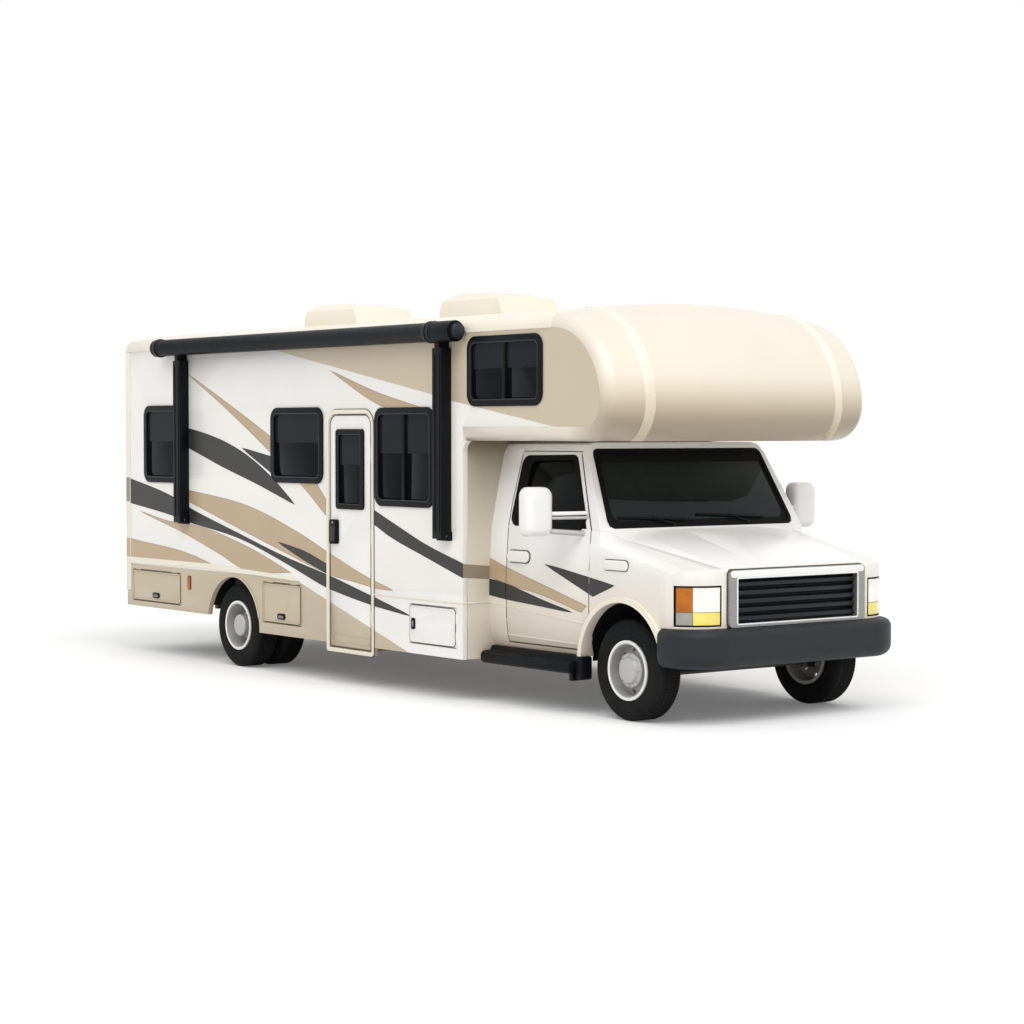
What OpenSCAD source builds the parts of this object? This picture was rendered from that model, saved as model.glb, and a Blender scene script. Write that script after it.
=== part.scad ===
// Class C motorhome: cutaway van cab, box coach with a cabover nose, twin rear wheels.
// X points forward, Y to the left, Z up; the origin is on the ground at mid length.

/* [Overall] */
// Length from rear bumper to front bumper
overall_l = 7750; // [7600:10:7900]
// Width over the coach side walls
coach_w = 2540; // [2500:10:2580]
// Distance between the axles
wheelbase = 4980; // [4920:10:5040]
// Front axle to the face of the front bumper
front_overhang = 800; // [795:1:820]
// Front axle back to the front wall of the coach
axle_to_coach = 1575; // [1570:1:1590]
// Height of the roof edge
roof_edge_z = 2905; // [2890:1:2930]

/* [Coach shell] */
// Thickness of walls and roof
wall_t = 45; // [42:1:48]
// Thickness of the skirt panels
skirt_t = 40; // [36:1:42]
// Height of the line between wall and skirt
belt_z = 820; // [815:1:830]
// Lower edge of the skirt behind the rear wheels
skirt_rear_z = 430; // [420:1:440]
// Lower edge of the skirt ahead of the rear wheels
skirt_front_z = 330; // [320:1:340]
// Underside of the coach floor
floor_z = 775; // [770:1:778]
// Thickness of the coach floor
floor_t = 60; // [50:1:70]
// Rise of the roof at mid width
crown = 100; // [85:1:105]
// Radius of the roof and cap edges
edge_r = 90; // [80:1:95]
// Height of the band of roof and cap that shows at the side
edge_band = 105; // [100:1:110]
// Cabover length past the coach front wall, at the sides
cabover_l = 1730; // [1700:5:1750]
// Clearance between the cab roof and the cabover underside
cabover_gap = 10; // [7:1:15]
// Radius of the upper nose curve
nose_top_r = 650; // [630:5:670]
// Radius of the lower nose curve
nose_low_r = 270; // [262:1:275]
// Height of the two ribs on the nose
rib_h = 16; // [10:1:20]
// Half distance between the two ribs
rib_y = 930; // [900:5:960]

/* [Openings] */
// Rear edge of the entry doorway behind the coach front wall
entry_x = 1840; // [1830:5:1850]
// Width of the entry doorway
entry_w = 600; // [590:1:610]
// Threshold of the entry doorway
entry_z = 300; // [296:1:305]
// Height of the entry doorway
entry_h = 1890; // [1870:5:1900]
// Shut gap round every hinged panel
shut_gap = 6; // [6:0.5:7]
// Radius of a hinge pin
pin_r = 4; // [4:0.1:4.4]
// Running gap between hinge pin and notch
pin_gap = 0.6; // [0.5:0.1:0.8]
// Width of the window frame flange
frame_w = 26; // [22:1:30]
// How far window frames stand out from the wall
frame_out = 14; // [10:1:18]
// Depth of the storage bins
bin_d = 520; // [480:10:540]

/* [Cab] */
// Half width of the cab
cab_hw = 1020; // [1010:1:1030]
// Height of the cab roof
cab_roof_z = 1975; // [1970:1:1978]
// Height of the windscreen base
cowl_z = 1340; // [1335:1:1350]
// Distance of the windscreen base from the coach front wall
cowl_x = 1310; // [1300:1:1320]
// Windscreen run back per height
screen_lean = 0.531; // [0.51:0.001:0.55]
// Height of the bonnet front edge
bonnet_z = 1125; // [1115:1:1135]
// Thickness of the cab panels and doors
cab_t = 50; // [45:1:52]
// Radius of the front wheel arch
arch_r = 440; // [435:1:445]
// Width of the arch flare
flare_w = 50; // [40:1:52]
// Rear edge of the cab door from the coach front wall
cab_door_x = 212; // [205:1:220]
// Front edge of the cab door from the coach front wall
cab_door_end = 1197; // [1192:1:1202]
// Width of a headlamp from the front
lamp_w = 304; // [295:1:310]
// Headlamp to the grille surround
lamp_gap = 51; // [45:1:55]
// Fall of the bonnet from its flat middle to its shoulders
bonnet_fall = 36; // [25:1:40]
// How far the rear corners of the bonnet are drawn in to swing clear of the wings
bonnet_nip = 16; // [14:1:20]
// How far the mirrors reach out past the cab
mirror_reach = 420; // [410:1:420]
// Seat centre from mid width
seat_y = 430; // [420:1:440]
// Steering column from mid width
steer_y = 410; // [400:1:430]

/* [Wheels] */
// Outer radius of a tyre
tyre_r = 361; // [358:1:364]
// Width of a tyre
tyre_w = 222; // [215:1:226]
// Radius of the rim seat
rim_r = 203; // [200:1:206]
// Front wheel centre from mid width
front_y = 872; // [868:1:876]
// Kingpin axis from mid width
kingpin_y = 772; // [768:1:776]
// Outer rear wheel centre from mid width
rear_y = 1118; // [1112:1:1122]
// Distance between twin wheels
twin_pitch = 278; // [274:1:284]
// Radius of the front wheel spindle
spindle_r = 30; // [28:1:32]
// Radius of a kingpin
kingpin_r = 15; // [14:1:17]
// Running gap of a wheel or knuckle on its pin
bearing_gap = 0.3; // [0.3:0.05:0.6]

/* [Chassis] */
// Half width over the frame rails
rail_hw = 432; // [425:1:440]
// Width of a frame rail
rail_w = 70; // [65:1:75]
// Depth of a frame rail
rail_h = 170; // [165:1:175]
// Inside width of the hitch socket
hitch_w = 51; // [50.8:0.1:51.4]
// Outside width of the hitch socket
hitch_out = 76; // [74:1:80]
// Radius of the hitch pin hole
hitch_pin_r = 8; // [7.8:0.1:8.2]

/* [Hidden] */
$fn = 48;
seam = 0.4;
big = 9000;
half_w = coach_w / 2;
in_w = half_w - wall_t;
front_axle_x = overall_l / 2 - front_overhang;
rear_axle_x = front_axle_x - wheelbase;
coach_front_x = front_axle_x - axle_to_coach;
bumper_out = 20;
coach_rear_x = bumper_out - overall_l / 2;
nose_x = coach_front_x + cabover_l;
nose_top_z = roof_edge_z - nose_top_r;
cabover_z = cab_roof_z + cabover_gap;
nose_low_z = cabover_z + nose_low_r;
top_cx = nose_x - nose_top_r;
low_cx = nose_x - nose_low_r;
edge_y = half_w - edge_r;
wall_top_z = roof_edge_z - edge_band;
axle_z = tyre_r;
twin_dish = 78;
arch_cz = 405;
rear_arch_r = 440;
rear_arch_cz = 345;
cowl_fx = coach_front_x + cowl_x;
grille_x = overall_l / 2 - 100;
bonnet_fx = grille_x - 25;
bonnet_lean = atan((cowl_z - bonnet_z) / (bonnet_fx - cowl_fx));
door_fx = coach_front_x + cab_door_end;
door_rx = coach_front_x + cab_door_x;
split_x = door_fx + shut_gap;
cab_low_z = 430;
cab_door_low_z = 470;
step_x = coach_front_x - entry_x;
lamp_in = cab_hw - lamp_w;
grille_hw = lamp_in - lamp_gap;
grille_low_z = 694;
grille_top_z = 1096;
rail_z = floor_z - rail_h;
beam_z = rail_z + 40;
bumper_r = 330;
bumper_low_z = 415;
bumper_top_z = 690;

// Coach windows, both sides: rear edge, sill, width, height, panes
WINDOWS = [
    [coach_rear_x + 380, 1615, 640, 650, 1],
    [rear_axle_x + 675, 1650, 766, 578, 1],
    [coach_front_x - 1154, 1492, 764, 725, 2],
    [coach_front_x + 93, 2267, 864, 472, 2],
];

// Window in the rear wall: half width, sill, height
rear_win = [480, 1640, 560];

// Storage doors: rear edge, sill, width, height
BIN_REAR = [coach_rear_x + 110, 485, 910, 285];
BIN_MID = [rear_axle_x + 502, 430, 608, 340];
BIN_FRONT = [coach_front_x - 700, 413, 611, 300];

// Feet of the hinge pins on a cab door
DOOR_HINGE_Z = [660, 960];

// Cab outline from the front: height, half width less the half width at the waist
CAB_SIDE = [
    [430, -48],
    [520, -18],
    [640, -3],
    [850, 0],
    [1100, -6],
    [1340, -22],
    [1600, -76],
    [1890, -140],
];

module xz(y0, y1) {
    translate([0, y1, 0])
        rotate([90, 0, 0])
            linear_extrude(y1 - y0)
                children();
}

module yz(x0, x1) {
    translate([x0, 0, 0])
        rotate([90, 0, 90])
            linear_extrude(x1 - x0)
                children();
}

module xy(z0, z1) {
    translate([0, 0, z0])
        linear_extrude(z1 - z0)
            children();
}

module both_sides() {
    children();
    mirror([0, 1, 0])
        children();
}

module rect(x0, y0, x1, y1) {
    translate([x0, y0])
        square([x1 - x0, y1 - y0]);
}

module rrect(x0, y0, x1, y1, r) {
    rect(x0 + r, y0, x1 - r, y1);
    rect(x0, y0 + r, x1, y1 - r);
    for (x = [x0 + r, x1 - r])
        for (y = [y0 + r, y1 - r])
            translate([x, y])
                circle(r);
}

module y_rod(x, z, r, y0, y1) {
    translate([x, y0, z])
        rotate([-90, 0, 0])
            cylinder(r = r, h = y1 - y0);
}

module x_rod(x0, x1, y, z, r) {
    translate([x0, y, z])
        rotate([0, 90, 0])
            cylinder(r = r, h = x1 - x0);
}

function crown_at(y, rise) = rise * (1 - pow(y / edge_y, 2));

function arc_points(cx, cy, r, a0, a1, n) =
    [for (i = [0:n]) let (a = a0 + (a1 - a0) * i / n) [cx + r * cos(a), cy + r * sin(a)]];

// Filled cross section of the coach top: h from low up to the crowned roof line
module section_fill(r, inset, low, rise) {
    n = 8;
    e = edge_r - inset;
    w = half_w - inset;
    rim = [for (i = [1:n - 1]) let (y = edge_y * (2 * i / n - 1)) [y, r - inset + crown_at(y, rise)]];
    polygon(concat(
        [[-w, low]],
        arc_points(-edge_y, r - edge_r, e, 180, 90, n),
        rim,
        arc_points(edge_y, r - edge_r, e, 90, 0, n),
        [[w, low]]
    ));
}

module section_ring(r, rise) {
    difference() {
        section_fill(r, 0, r - edge_band, rise);
        section_fill(r, wall_t, r - edge_band - 20, rise);
    }
}

module rib_section(r) {
    base = r + crown_at(rib_y, crown);
    for (s = [-1, 1])
        translate([s * rib_y, base])
            polygon([[-48, -18], [-22, rib_h], [22, rib_h], [48, -18]]);
}

module nose_turn(cx, cz, start) {
    translate([cx, 0, cz])
        rotate([90, 0, 0])
            rotate([0, 0, start])
                rotate_extrude(angle = 90)
                    rotate(-90)
                        children();
}

// Window opening outlines on a side wall
module window_outline(w, grow) {
    rrect(w[0] - grow, w[1] - grow, w[0] + w[2] + grow, w[1] + w[3] + grow, 70 + grow);
}

module bin_outline(b, grow) {
    rect(b[0] - grow, b[1] - grow, b[0] + b[2] + grow, b[1] + b[3] + grow);
}

module entry_outline(grow) {
    x0 = step_x - grow;
    x1 = step_x + entry_w + grow;
    top = entry_z + entry_h + grow;
    rect(x0, entry_z - grow, x1, top - 90 - grow);
    rrect(x0, top - 400, x1, top, 90 + grow);
}

module wall_outline() {
    inset = edge_band + seam;
    top_r = nose_top_r - inset;
    low_r = nose_low_r - inset;
    rect(coach_rear_x, belt_z, coach_front_x, wall_top_z - seam);
    rect(coach_front_x - 1, cabover_z + inset, top_cx, wall_top_z - seam);
    rect(top_cx - 1, cabover_z + inset, low_cx, nose_top_z + 1);
    if (nose_top_z > nose_low_z)
        rect(top_cx - 1, nose_low_z - 1, nose_x - inset, nose_top_z + 1);
    translate([top_cx, nose_top_z])
        intersection() {
            circle(top_r);
            square(big);
        }
    translate([low_cx, nose_low_z])
        intersection() {
            circle(low_r);
            translate([0, -big])
                square(big);
        }
}

module side_wall() {
    xz(-half_w, -in_w)
        difference() {
            wall_outline();
            for (w = WINDOWS)
                window_outline(w, 0);
            children();
        }
}

module entry_pins() {
    for (z = [500, 1150, 1800])
        translate([step_x + entry_w + shut_gap / 2, -half_w, z])
            cylinder(r = pin_r, h = 130);
}

module wall_right() {
    color("white") {
        side_wall()
            entry_outline(shut_gap);
        intersection() {
            entry_pins();
            translate([-big / 2, -big / 2, belt_z])
                cube(big);
        }
    }
}

module wall_left() {
    color("white")
        mirror([0, 1, 0])
            side_wall();
}

module wall_rear() {
    color("white")
        yz(coach_rear_x, coach_rear_x + wall_t)
            difference() {
                translate([0, nose_top_z])
                    section_fill(nose_top_r, wall_t + seam, 570 - nose_top_z, crown);
                rrect(-rear_win[0], rear_win[1], rear_win[0], rear_win[1] + rear_win[2], 70);
            }
}

module wall_front() {
    color("white")
        yz(coach_front_x - wall_t, coach_front_x)
            difference() {
                rect(seam - in_w, skirt_front_z, in_w - seam, cabover_z + wall_t);
                rrect(400 - cab_hw, floor_z + floor_t + 20, cab_hw - 400, cab_roof_z - 90, 60);
                rect(-rail_hw - 4, -1, rail_hw + 4, floor_z);
            }
}

module coach_roof() {
    color("ivory")
        yz(coach_rear_x, top_cx)
            translate([0, nose_top_z])
                section_ring(nose_top_r, crown);
}

module cabover_cap() {
    color("ivory") {
        nose_turn(top_cx, nose_top_z, 0) {
            section_ring(nose_top_r, crown);
            rib_section(nose_top_r);
        }
        if (nose_top_z > nose_low_z)
            xy(nose_low_z - 1, nose_top_z + 1)
                translate([low_cx, 0])
                    rotate(-90) {
                        section_ring(nose_low_r, crown);
                        rib_section(nose_low_r);
                    }
        difference() {
            nose_turn(low_cx, nose_low_z, -90) {
                section_ring(nose_low_r, crown);
                rib_section(nose_low_r);
            }
            translate([0, -big / 2, cabover_z - big])
                cube(big);
        }
        yz(coach_front_x, low_cx)
            translate([0, nose_low_z])
                mirror([0, 1])
                    section_ring(nose_low_r, 0);
        intersection() {
            nose_turn(low_cx, nose_low_z, -90)
                section_fill(nose_low_r, wall_t - 5, 0, crown);
            translate([low_cx - 1, -in_w, cabover_z])
                cube([big, 2 * in_w, wall_t]);
        }
    }
}

module coach_floor() {
    x0 = coach_rear_x + wall_t + seam;
    x1 = coach_front_x - wall_t - seam;
    top = floor_z + floor_t;
    color("tan") {
        difference() {
            translate([x0, seam - in_w, floor_z])
                cube([x1 - x0, 2 * (in_w - seam), floor_t]);
            translate([step_x, -half_w, floor_z - 1])
                cube([entry_w, half_w - 640, floor_t + 2]);
        }
        yz(step_x, step_x + entry_w)
            polygon([
                [-half_w + wall_t + 6, 300], [-930, 300], [-930, 560], [-640, 560],
                [-640, top], [-675, top], [-675, 595], [-965, 595], [-965, 335],
                [-half_w + wall_t + 6, 335],
            ]);
        for (x = [step_x - 30, step_x + entry_w])
            translate([x, -half_w + wall_t + 6, 300])
                cube([30, half_w - wall_t - 646, floor_z - 300]);
    }
}

module skirt_outline() {
    difference() {
        union() {
            rect(coach_rear_x, skirt_rear_z, rear_axle_x, belt_z - seam);
            rect(rear_axle_x, skirt_front_z, coach_front_x, belt_z - seam);
            children();
        }
        translate([rear_axle_x, rear_arch_cz])
            circle(rear_arch_r);
        rect(rear_axle_x - rear_arch_r, 0, rear_axle_x + rear_arch_r, rear_arch_cz);
        bin_outline(BIN_REAR, shut_gap);
    }
}

module top_pins(b) {
    for (x = [b[0] + 60, b[0] + b[2] - 160])
        x_rod(x, x + 100, -half_w, b[1] + b[3] + shut_gap / 2, pin_r);
}

module front_bin_pins() {
    for (z = [BIN_FRONT[1] + 40, BIN_FRONT[1] + BIN_FRONT[3] - 120])
        translate([BIN_FRONT[0] + BIN_FRONT[2] + shut_gap / 2, -half_w, z])
            cylinder(r = pin_r, h = 80);
}

module skirts() {
    color("tan") {
        xz(-half_w, skirt_t - half_w)
            difference() {
                skirt_outline()
                    rect(step_x - 36, 264, step_x + entry_w + 36, skirt_front_z + 1);
                entry_outline(shut_gap);
                bin_outline(BIN_MID, shut_gap);
                bin_outline(BIN_FRONT, shut_gap);
            }
        top_pins(BIN_REAR);
        top_pins(BIN_MID);
        front_bin_pins();
        intersection() {
            entry_pins();
            translate([-big / 2, -big / 2, belt_z - seam - big])
                cube(big);
        }
        mirror([0, 1, 0]) {
            xz(-half_w, skirt_t - half_w)
                skirt_outline();
            top_pins(BIN_REAR);
        }
    }
}

module bin_tub(b) {
    t = 12;
    lip = 16;
    x0 = b[0] - lip;
    y0 = skirt_t - half_w;
    top = min(b[1] + b[3] + lip, floor_z);
    difference() {
        translate([x0, y0, b[1] - lip])
            cube([b[2] + 2 * lip, bin_d, top - b[1] + lip]);
        translate([x0 + t, y0 - 1, b[1] - lip + t])
            cube([b[2] + 2 * lip - 2 * t, bin_d - t + 1, top - b[1] + lip - 2 * t]);
    }
}

module storage_bins() {
    color("dimgray") {
        bin_tub(BIN_REAR);
        bin_tub(BIN_MID);
        bin_tub(BIN_FRONT);
        mirror([0, 1, 0])
            bin_tub(BIN_REAR);
    }
}

module window_frame(w) {
    mid = w[0] + w[2] / 2;
    bar = 18;
    xz(-half_w - frame_out, -half_w)
        difference() {
            window_outline(w, frame_w);
            window_outline(w, -frame_w);
        }
    xz(-half_w - 1, -in_w)
        difference() {
            window_outline(w, -seam);
            window_outline(w, -frame_w);
        }
    if (w[4] == 2)
        xz(-half_w - frame_out, -in_w)
            rect(mid - bar, w[1] + frame_w - 2, mid + bar, w[1] + w[3] - frame_w + 2);
}

module rear_window_outline(grow) {
    w = rear_win[0] + grow;
    rrect(-w, rear_win[1] - grow, w, rear_win[1] + rear_win[2] + grow, 70 + grow);
}

module window_frames() {
    color("black") {
        both_sides()
            for (w = WINDOWS)
                window_frame(w);
        yz(coach_rear_x - frame_out, coach_rear_x)
            difference() {
                rear_window_outline(frame_w);
                rear_window_outline(-frame_w);
            }
        yz(coach_rear_x - 1, coach_rear_x + wall_t)
            difference() {
                rear_window_outline(-seam);
                rear_window_outline(-frame_w);
            }
    }
}

module window_pane(w) {
    mid = w[0] + w[2] / 2;
    xz(8 - half_w, 14 - half_w)
        difference() {
            window_outline(w, -frame_w - seam);
            if (w[4] == 2)
                rect(mid - 18 - seam, 0, mid + 18 + seam, big);
        }
}

module window_glass() {
    color("darkslategray") {
        both_sides()
            for (w = WINDOWS)
                window_pane(w);
        yz(coach_rear_x + 8, coach_rear_x + 14)
            rear_window_outline(-frame_w - seam);
    }
}

module awning() {
    roll_r = 80;
    roll_y = -half_w - 90;
    roll_z = wall_top_z + 8;
    arm_w = 120;
    arm_d = 95;
    arm_low_z = 1240;
    x0 = coach_rear_x + 770;
    x1 = coach_front_x + 65;
    color("black") {
        x_rod(x0 + 60, x1 - 330, roll_y, roll_z, roll_r - 6);
        x_rod(x0, x0 + 60, roll_y, roll_z, roll_r);
        x_rod(x1 - 330, x1 - 30, roll_y, roll_z, roll_r);
        x_rod(x1 - 30, x1, roll_y, roll_z, roll_r - 16);
        for (x = [coach_rear_x + 1122, coach_front_x - 205]) {
            translate([x - arm_w / 2, -half_w - arm_d, arm_low_z])
                cube([arm_w, arm_d, roll_z - 120 - arm_low_z]);
            translate([x - arm_w / 4, -half_w - arm_d, roll_z - 130])
                cube([arm_w / 2, arm_d, 120]);
            translate([x - arm_w / 2 - 12, -half_w - arm_d / 2, arm_low_z - 15])
                cube([arm_w + 24, arm_d / 2, 70]);
        }
    }
}

module roof_unit(x) {
    l = 940;
    w = 660;
    h = 3195;
    z = roof_edge_z;
    difference() {
        intersection() {
            xz(-w / 2, w / 2)
                polygon([
                    [x - l / 2, z], [x - l / 2 + 60, h - 60], [x - l / 2 + 170, h],
                    [x + l / 2 - 420, h], [x + l / 2 - 120, h - 50], [x + l / 2, z + 70],
                    [x + l / 2, z],
                ]);
            xy(z, h + 10)
                rrect(x - l / 2, -w / 2, x + l / 2, w / 2, 110);
            yz(x - l, x + l)
                polygon([[-w / 2, z], [-w / 2 + 40, h - 60], [-w / 2 + 130, h], [w / 2 - 130, h],
                    [w / 2 - 40, h - 60], [w / 2, z]]);
        }
        yz(x - l, x + l)
            translate([0, nose_top_z])
                section_fill(nose_top_r, 0, 0, crown);
    }
}

module roof_units() {
    color("ivory") {
        roof_unit(coach_rear_x + 2025);
        roof_unit(coach_front_x - 1220);
    }
}

module rear_bumper() {
    x0 = coach_rear_x - bumper_out;
    color("dimgray")
        difference() {
            xy(430, 565)
                rrect(x0, skirt_t + 5 - half_w, x0 + 90, half_w - skirt_t - 5, 25);
            translate([x0 + 20, -half_w, 420])
                cube([50, 2 * half_w, 125]);
        }
}

module hitch_receiver() {
    x0 = coach_rear_x + 5;
    z = 392;
    arm = 12;
    color("dimgray")
        difference() {
            union() {
                translate([x0, -hitch_out / 2, z - hitch_out / 2])
                    cube([260, hitch_out, hitch_out]);
                translate([x0 + 170, -rail_hw, z - 30])
                    cube([60, 2 * rail_hw, 60]);
                for (s = [-1, 1])
                    translate([x0 + 150, s * (rail_hw - rail_w / 2) - 20, z])
                        cube([100, 40, rail_z - z]);
            }
            translate([x0 - 1, -hitch_w / 2, z - hitch_w / 2])
                cube([200, hitch_w, hitch_w]);
            y_rod(x0 + 66, z, hitch_pin_r, -hitch_out, hitch_out);
        }
}

module amber_lamps() {
    color("orange")
        both_sides() {
            translate([coach_rear_x + 1160, -half_w - 14, 640])
                cube([44, 14, 112]);
            intersection() {
                front_lens();
                lamp_box(lamp_in + 146, cab_hw + 20, 866, 992 - seam);
            }
        }
}

module red_lamps() {
    color("red")
        both_sides()
            for (z = [900, 1100])
                yz(coach_rear_x - 14, coach_rear_x)
                    translate([-1120, z])
                        circle(70);
}

// Cab solid less a margin, built from its side, front and plan outlines
module cabin_solid(m) {
    back = m > 0 ? coach_front_x - 40 : coach_front_x + seam;
    low = m > 0 ? cab_low_z - 40 : cab_low_z;
    side = [for (p = CAB_SIDE) [cab_hw + p[1] - m, p[0]]];
    top = cab_roof_z - m;
    rim = CAB_SIDE[len(CAB_SIDE) - 1];
    lean = m * sqrt(1 + screen_lean * screen_lean);
    intersection() {
        xz(-big / 2, big / 2)
            polygon([
                [back, low], [back, top],
                [cowl_fx - (top - cowl_z) * screen_lean - lean, top],
                [cowl_fx - lean, cowl_z], [cowl_fx - lean, low],
            ]);
        yz(0, big)
            polygon(concat(
                [[-side[0][0], low]],
                [for (p = side) [-p[0], p[1]]],
                [[-side[7][0] + 40, top - 18], [-side[7][0] + 100, top]],
                [[side[7][0] - 100, top], [side[7][0] - 40, top - 18]],
                [for (i = [0:7]) side[7 - i]],
                [[side[0][0], low]]
            ));
    }
}

// Section across the bonnet: flat in the middle, falling to rounded shoulders
module front_section(m) {
    hw = cab_hw - m;
    r = 120 - m;
    w = hw - r;
    flat = w - 550;
    n = 5;
    half = [for (i = [0:n - 1]) let (t = i / n) [flat + (w - flat) * t, -m - bonnet_fall * t * t]];
    polygon(concat(
        [[hw, -1300]],
        arc_points(w, -m - bonnet_fall - r, r, 0, 90, n),
        [for (i = [0:n - 1]) half[n - 1 - i]],
        [for (p = half) [-p[0], p[1]]],
        arc_points(-w, -m - bonnet_fall - r, r, 90, 180, n),
        [[-hw, -1300]]
    ));
}

module front_solid(m) {
    low = m > 0 ? cab_low_z - 40 : cab_low_z;
    back = split_x - 30 - (m > 0 ? 10 : 0);
    hw = cab_hw - m;
    drop = m / cos(bonnet_lean);
    intersection() {
        xz(-big / 2, big / 2)
            polygon([
                [back, low], [back, cowl_z - drop], [cowl_fx, cowl_z - drop],
                [bonnet_fx, bonnet_z - drop], [grille_x - m, bonnet_z - drop - 38],
                [grille_x - m, low],
            ]);
        xy(low, cowl_z + 10)
            rrect(coach_front_x - 600, -hw, grille_x - m, hw, 300 - m);
        translate([cowl_fx, 0, cowl_z])
            rotate([0, bonnet_lean, 0])
                yz(-400, 1300)
                    front_section(m);
    }
}

module cab_skin(t) {
    difference() {
        union() {
            cabin_solid(0);
            front_solid(0);
        }
        cabin_solid(t);
        front_solid(t);
    }
}

module arch_disc(r) {
    translate([front_axle_x, arch_cz])
        circle(r);
}

module front_region() {
    difference() {
        union() {
            rect(split_x, cab_low_z - 1, grille_x + 10, cowl_z);
            intersection() {
                arch_disc(arch_r + flare_w);
                rect(0, cab_low_z - 1, big, big);
            }
        }
        arch_disc(arch_r);
    }
}

module cab_door_outline(grow) {
    lift = grow * 1.1;
    difference() {
        polygon([
            [door_rx - grow, cab_door_low_z - grow],
            [door_fx + grow, cab_door_low_z - grow],
            [door_fx + grow, cowl_z + 8],
            [door_fx - 262 + lift, 1905 + grow],
            [door_rx + 30 - grow, 1905 + grow],
            [door_rx - grow, 1500],
        ]);
        arch_disc(arch_r + flare_w + 2 * (shut_gap - grow));
    }
}

module cab_window_outline(grow) {
    polygon([
        [coach_front_x + 318 - grow, 1372 - grow],
        [coach_front_x + 1143 + grow * 1.6, 1350 - grow],
        [coach_front_x + 888 + grow * 1.2, 1868 + grow],
        [coach_front_x + 352 - grow, 1858 + grow],
    ]);
}

module screen_outline(grow) {
    polygon([
        [115 - cab_hw - grow, cowl_z + 28 - grow], [cab_hw - 115 + grow, cowl_z + 28 - grow],
        [cab_hw - 202 + grow, cab_roof_z - 60 + grow], [202 - cab_hw - grow, cab_roof_z - 60 + grow],
    ]);
}

module bonnet_plan(grow) {
    x0 = cowl_fx + 14 - grow;
    x1 = bonnet_fx - 2 + grow;
    rear = cab_hw - 140 + grow;
    front = cab_hw - 320 + grow;
    bend = 140;
    side = rear - (rear - front) * bend / (x1 - x0);
    nip = grow > 0 ? 0 : bonnet_nip;
    polygon([[x0, nip - rear], [x0, rear - nip], [x0 + bend, side], [x1, front], [x1, -front],
        [x0 + bend, -side]]);
}

module lamp_box(y0, y1, z0, z1, back = 0) {
    translate([grille_x - 185 - back, -y1, z0])
        cube([big, y1 - y0, z1 - z0]);
}

module front_lens() {
    difference() {
        front_solid(3);
        front_solid(45);
    }
}

module cab_door_pins() {
    for (z = DOOR_HINGE_Z)
        translate([door_fx + shut_gap / 2, 3 - cab_hw, z])
            cylinder(r = pin_r, h = 90);
}

module bonnet_pins() {
    for (y = [-330, 230])
        y_rod(cowl_fx + 14 - shut_gap / 2, cowl_z - 4, pin_r, y, y + 100);
}

module cab_shell() {
    color("white")
        difference() {
            intersection() {
                difference() {
                    cabin_solid(0);
                    cabin_solid(cab_t);
                }
                union() {
                    translate([0, -big / 2, 0])
                        cube([split_x - seam, big, big]);
                    translate([0, -big / 2, cowl_z + seam])
                        cube(big);
                }
            }
            xz(-big / 2, big / 2)
                arch_disc(arch_r + flare_w + seam);
            xz(-big / 2, -500)
                cab_door_outline(shut_gap);
            xz(500, big / 2)
                cab_door_outline(shut_gap);
            yz(coach_front_x + 500, big)
                screen_outline(0);
        }
}

module cab_front() {
    color("white") {
        difference() {
            intersection() {
                cab_skin(cab_t);
                xz(-big / 2, big / 2)
                    front_region();
            }
            xy(900, cowl_z + 100)
                bonnet_plan(shut_gap);
            both_sides()
                lamp_box(lamp_in, cab_hw + 20, 708, 992, seam);
            translate([front_axle_x + arch_r - 30, -big / 2, 0])
                cube([big, big, 693]);
            yz(grille_x - 200, big)
                rrect(-grille_hw, grille_low_z - 90, grille_hw, grille_top_z, 36);
        }
        bonnet_pins();
        both_sides() {
            cab_door_pins();
            xz(-cab_hw - 26, 40 - cab_hw)
                difference() {
                    intersection() {
                        arch_disc(arch_r + flare_w - 8);
                        rect(0, cab_low_z, big, big);
                    }
                    arch_disc(arch_r);
                    rect(front_axle_x + arch_r - 30, 0, big, 693);
                }
        }
    }
}

module bonnet() {
    color("white")
        difference() {
            intersection() {
                difference() {
                    front_solid(0);
                    front_solid(40);
                }
                xy(900, cowl_z + 100)
                    bonnet_plan(0);
                xz(-big / 2, big / 2)
                    polygon([
                        [cowl_fx, cowl_z - 60], [cowl_fx, cowl_z + 60],
                        [bonnet_fx + 60, bonnet_z + 60], [bonnet_fx + 60, bonnet_z - 58],
                    ]);
            }
            for (y = [-335, 225])
                y_rod(cowl_fx + 14 - shut_gap / 2, cowl_z - 4, pin_r + pin_gap, y, y + 110);
        }
}

module cab_floor() {
    hw = cab_hw - cab_t - 76;
    sill = cab_hw + CAB_SIDE[0][1] - cab_t - 8;
    color("dimgray") {
        translate([coach_front_x + seam, -hw, floor_z])
            cube([cowl_x - 60, 2 * hw, 40]);
        translate([cowl_fx - 60, 320 - cab_hw, floor_z])
            cube([30, 2 * (cab_hw - 320), cowl_z - floor_z - 120]);
        both_sides()
            translate([coach_front_x + seam, -sill, cab_low_z])
                cube([cab_door_end - 120, 30, floor_z - cab_low_z]);
    }
}

module windscreen() {
    color("darkslategray")
        intersection() {
            difference() {
                cabin_solid(8);
                cabin_solid(16);
            }
            yz(coach_front_x + 500, big)
                screen_outline(-seam);
        }
}

module grille_surround() {
    color("silver")
        yz(grille_x - 20, grille_x + 26)
            difference() {
                rrect(seam - grille_hw, grille_low_z, grille_hw - seam, grille_top_z - seam, 36);
                rrect(80 - grille_hw, grille_low_z + 28, grille_hw - 80, grille_top_z - 64, 5);
            }
}

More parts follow.
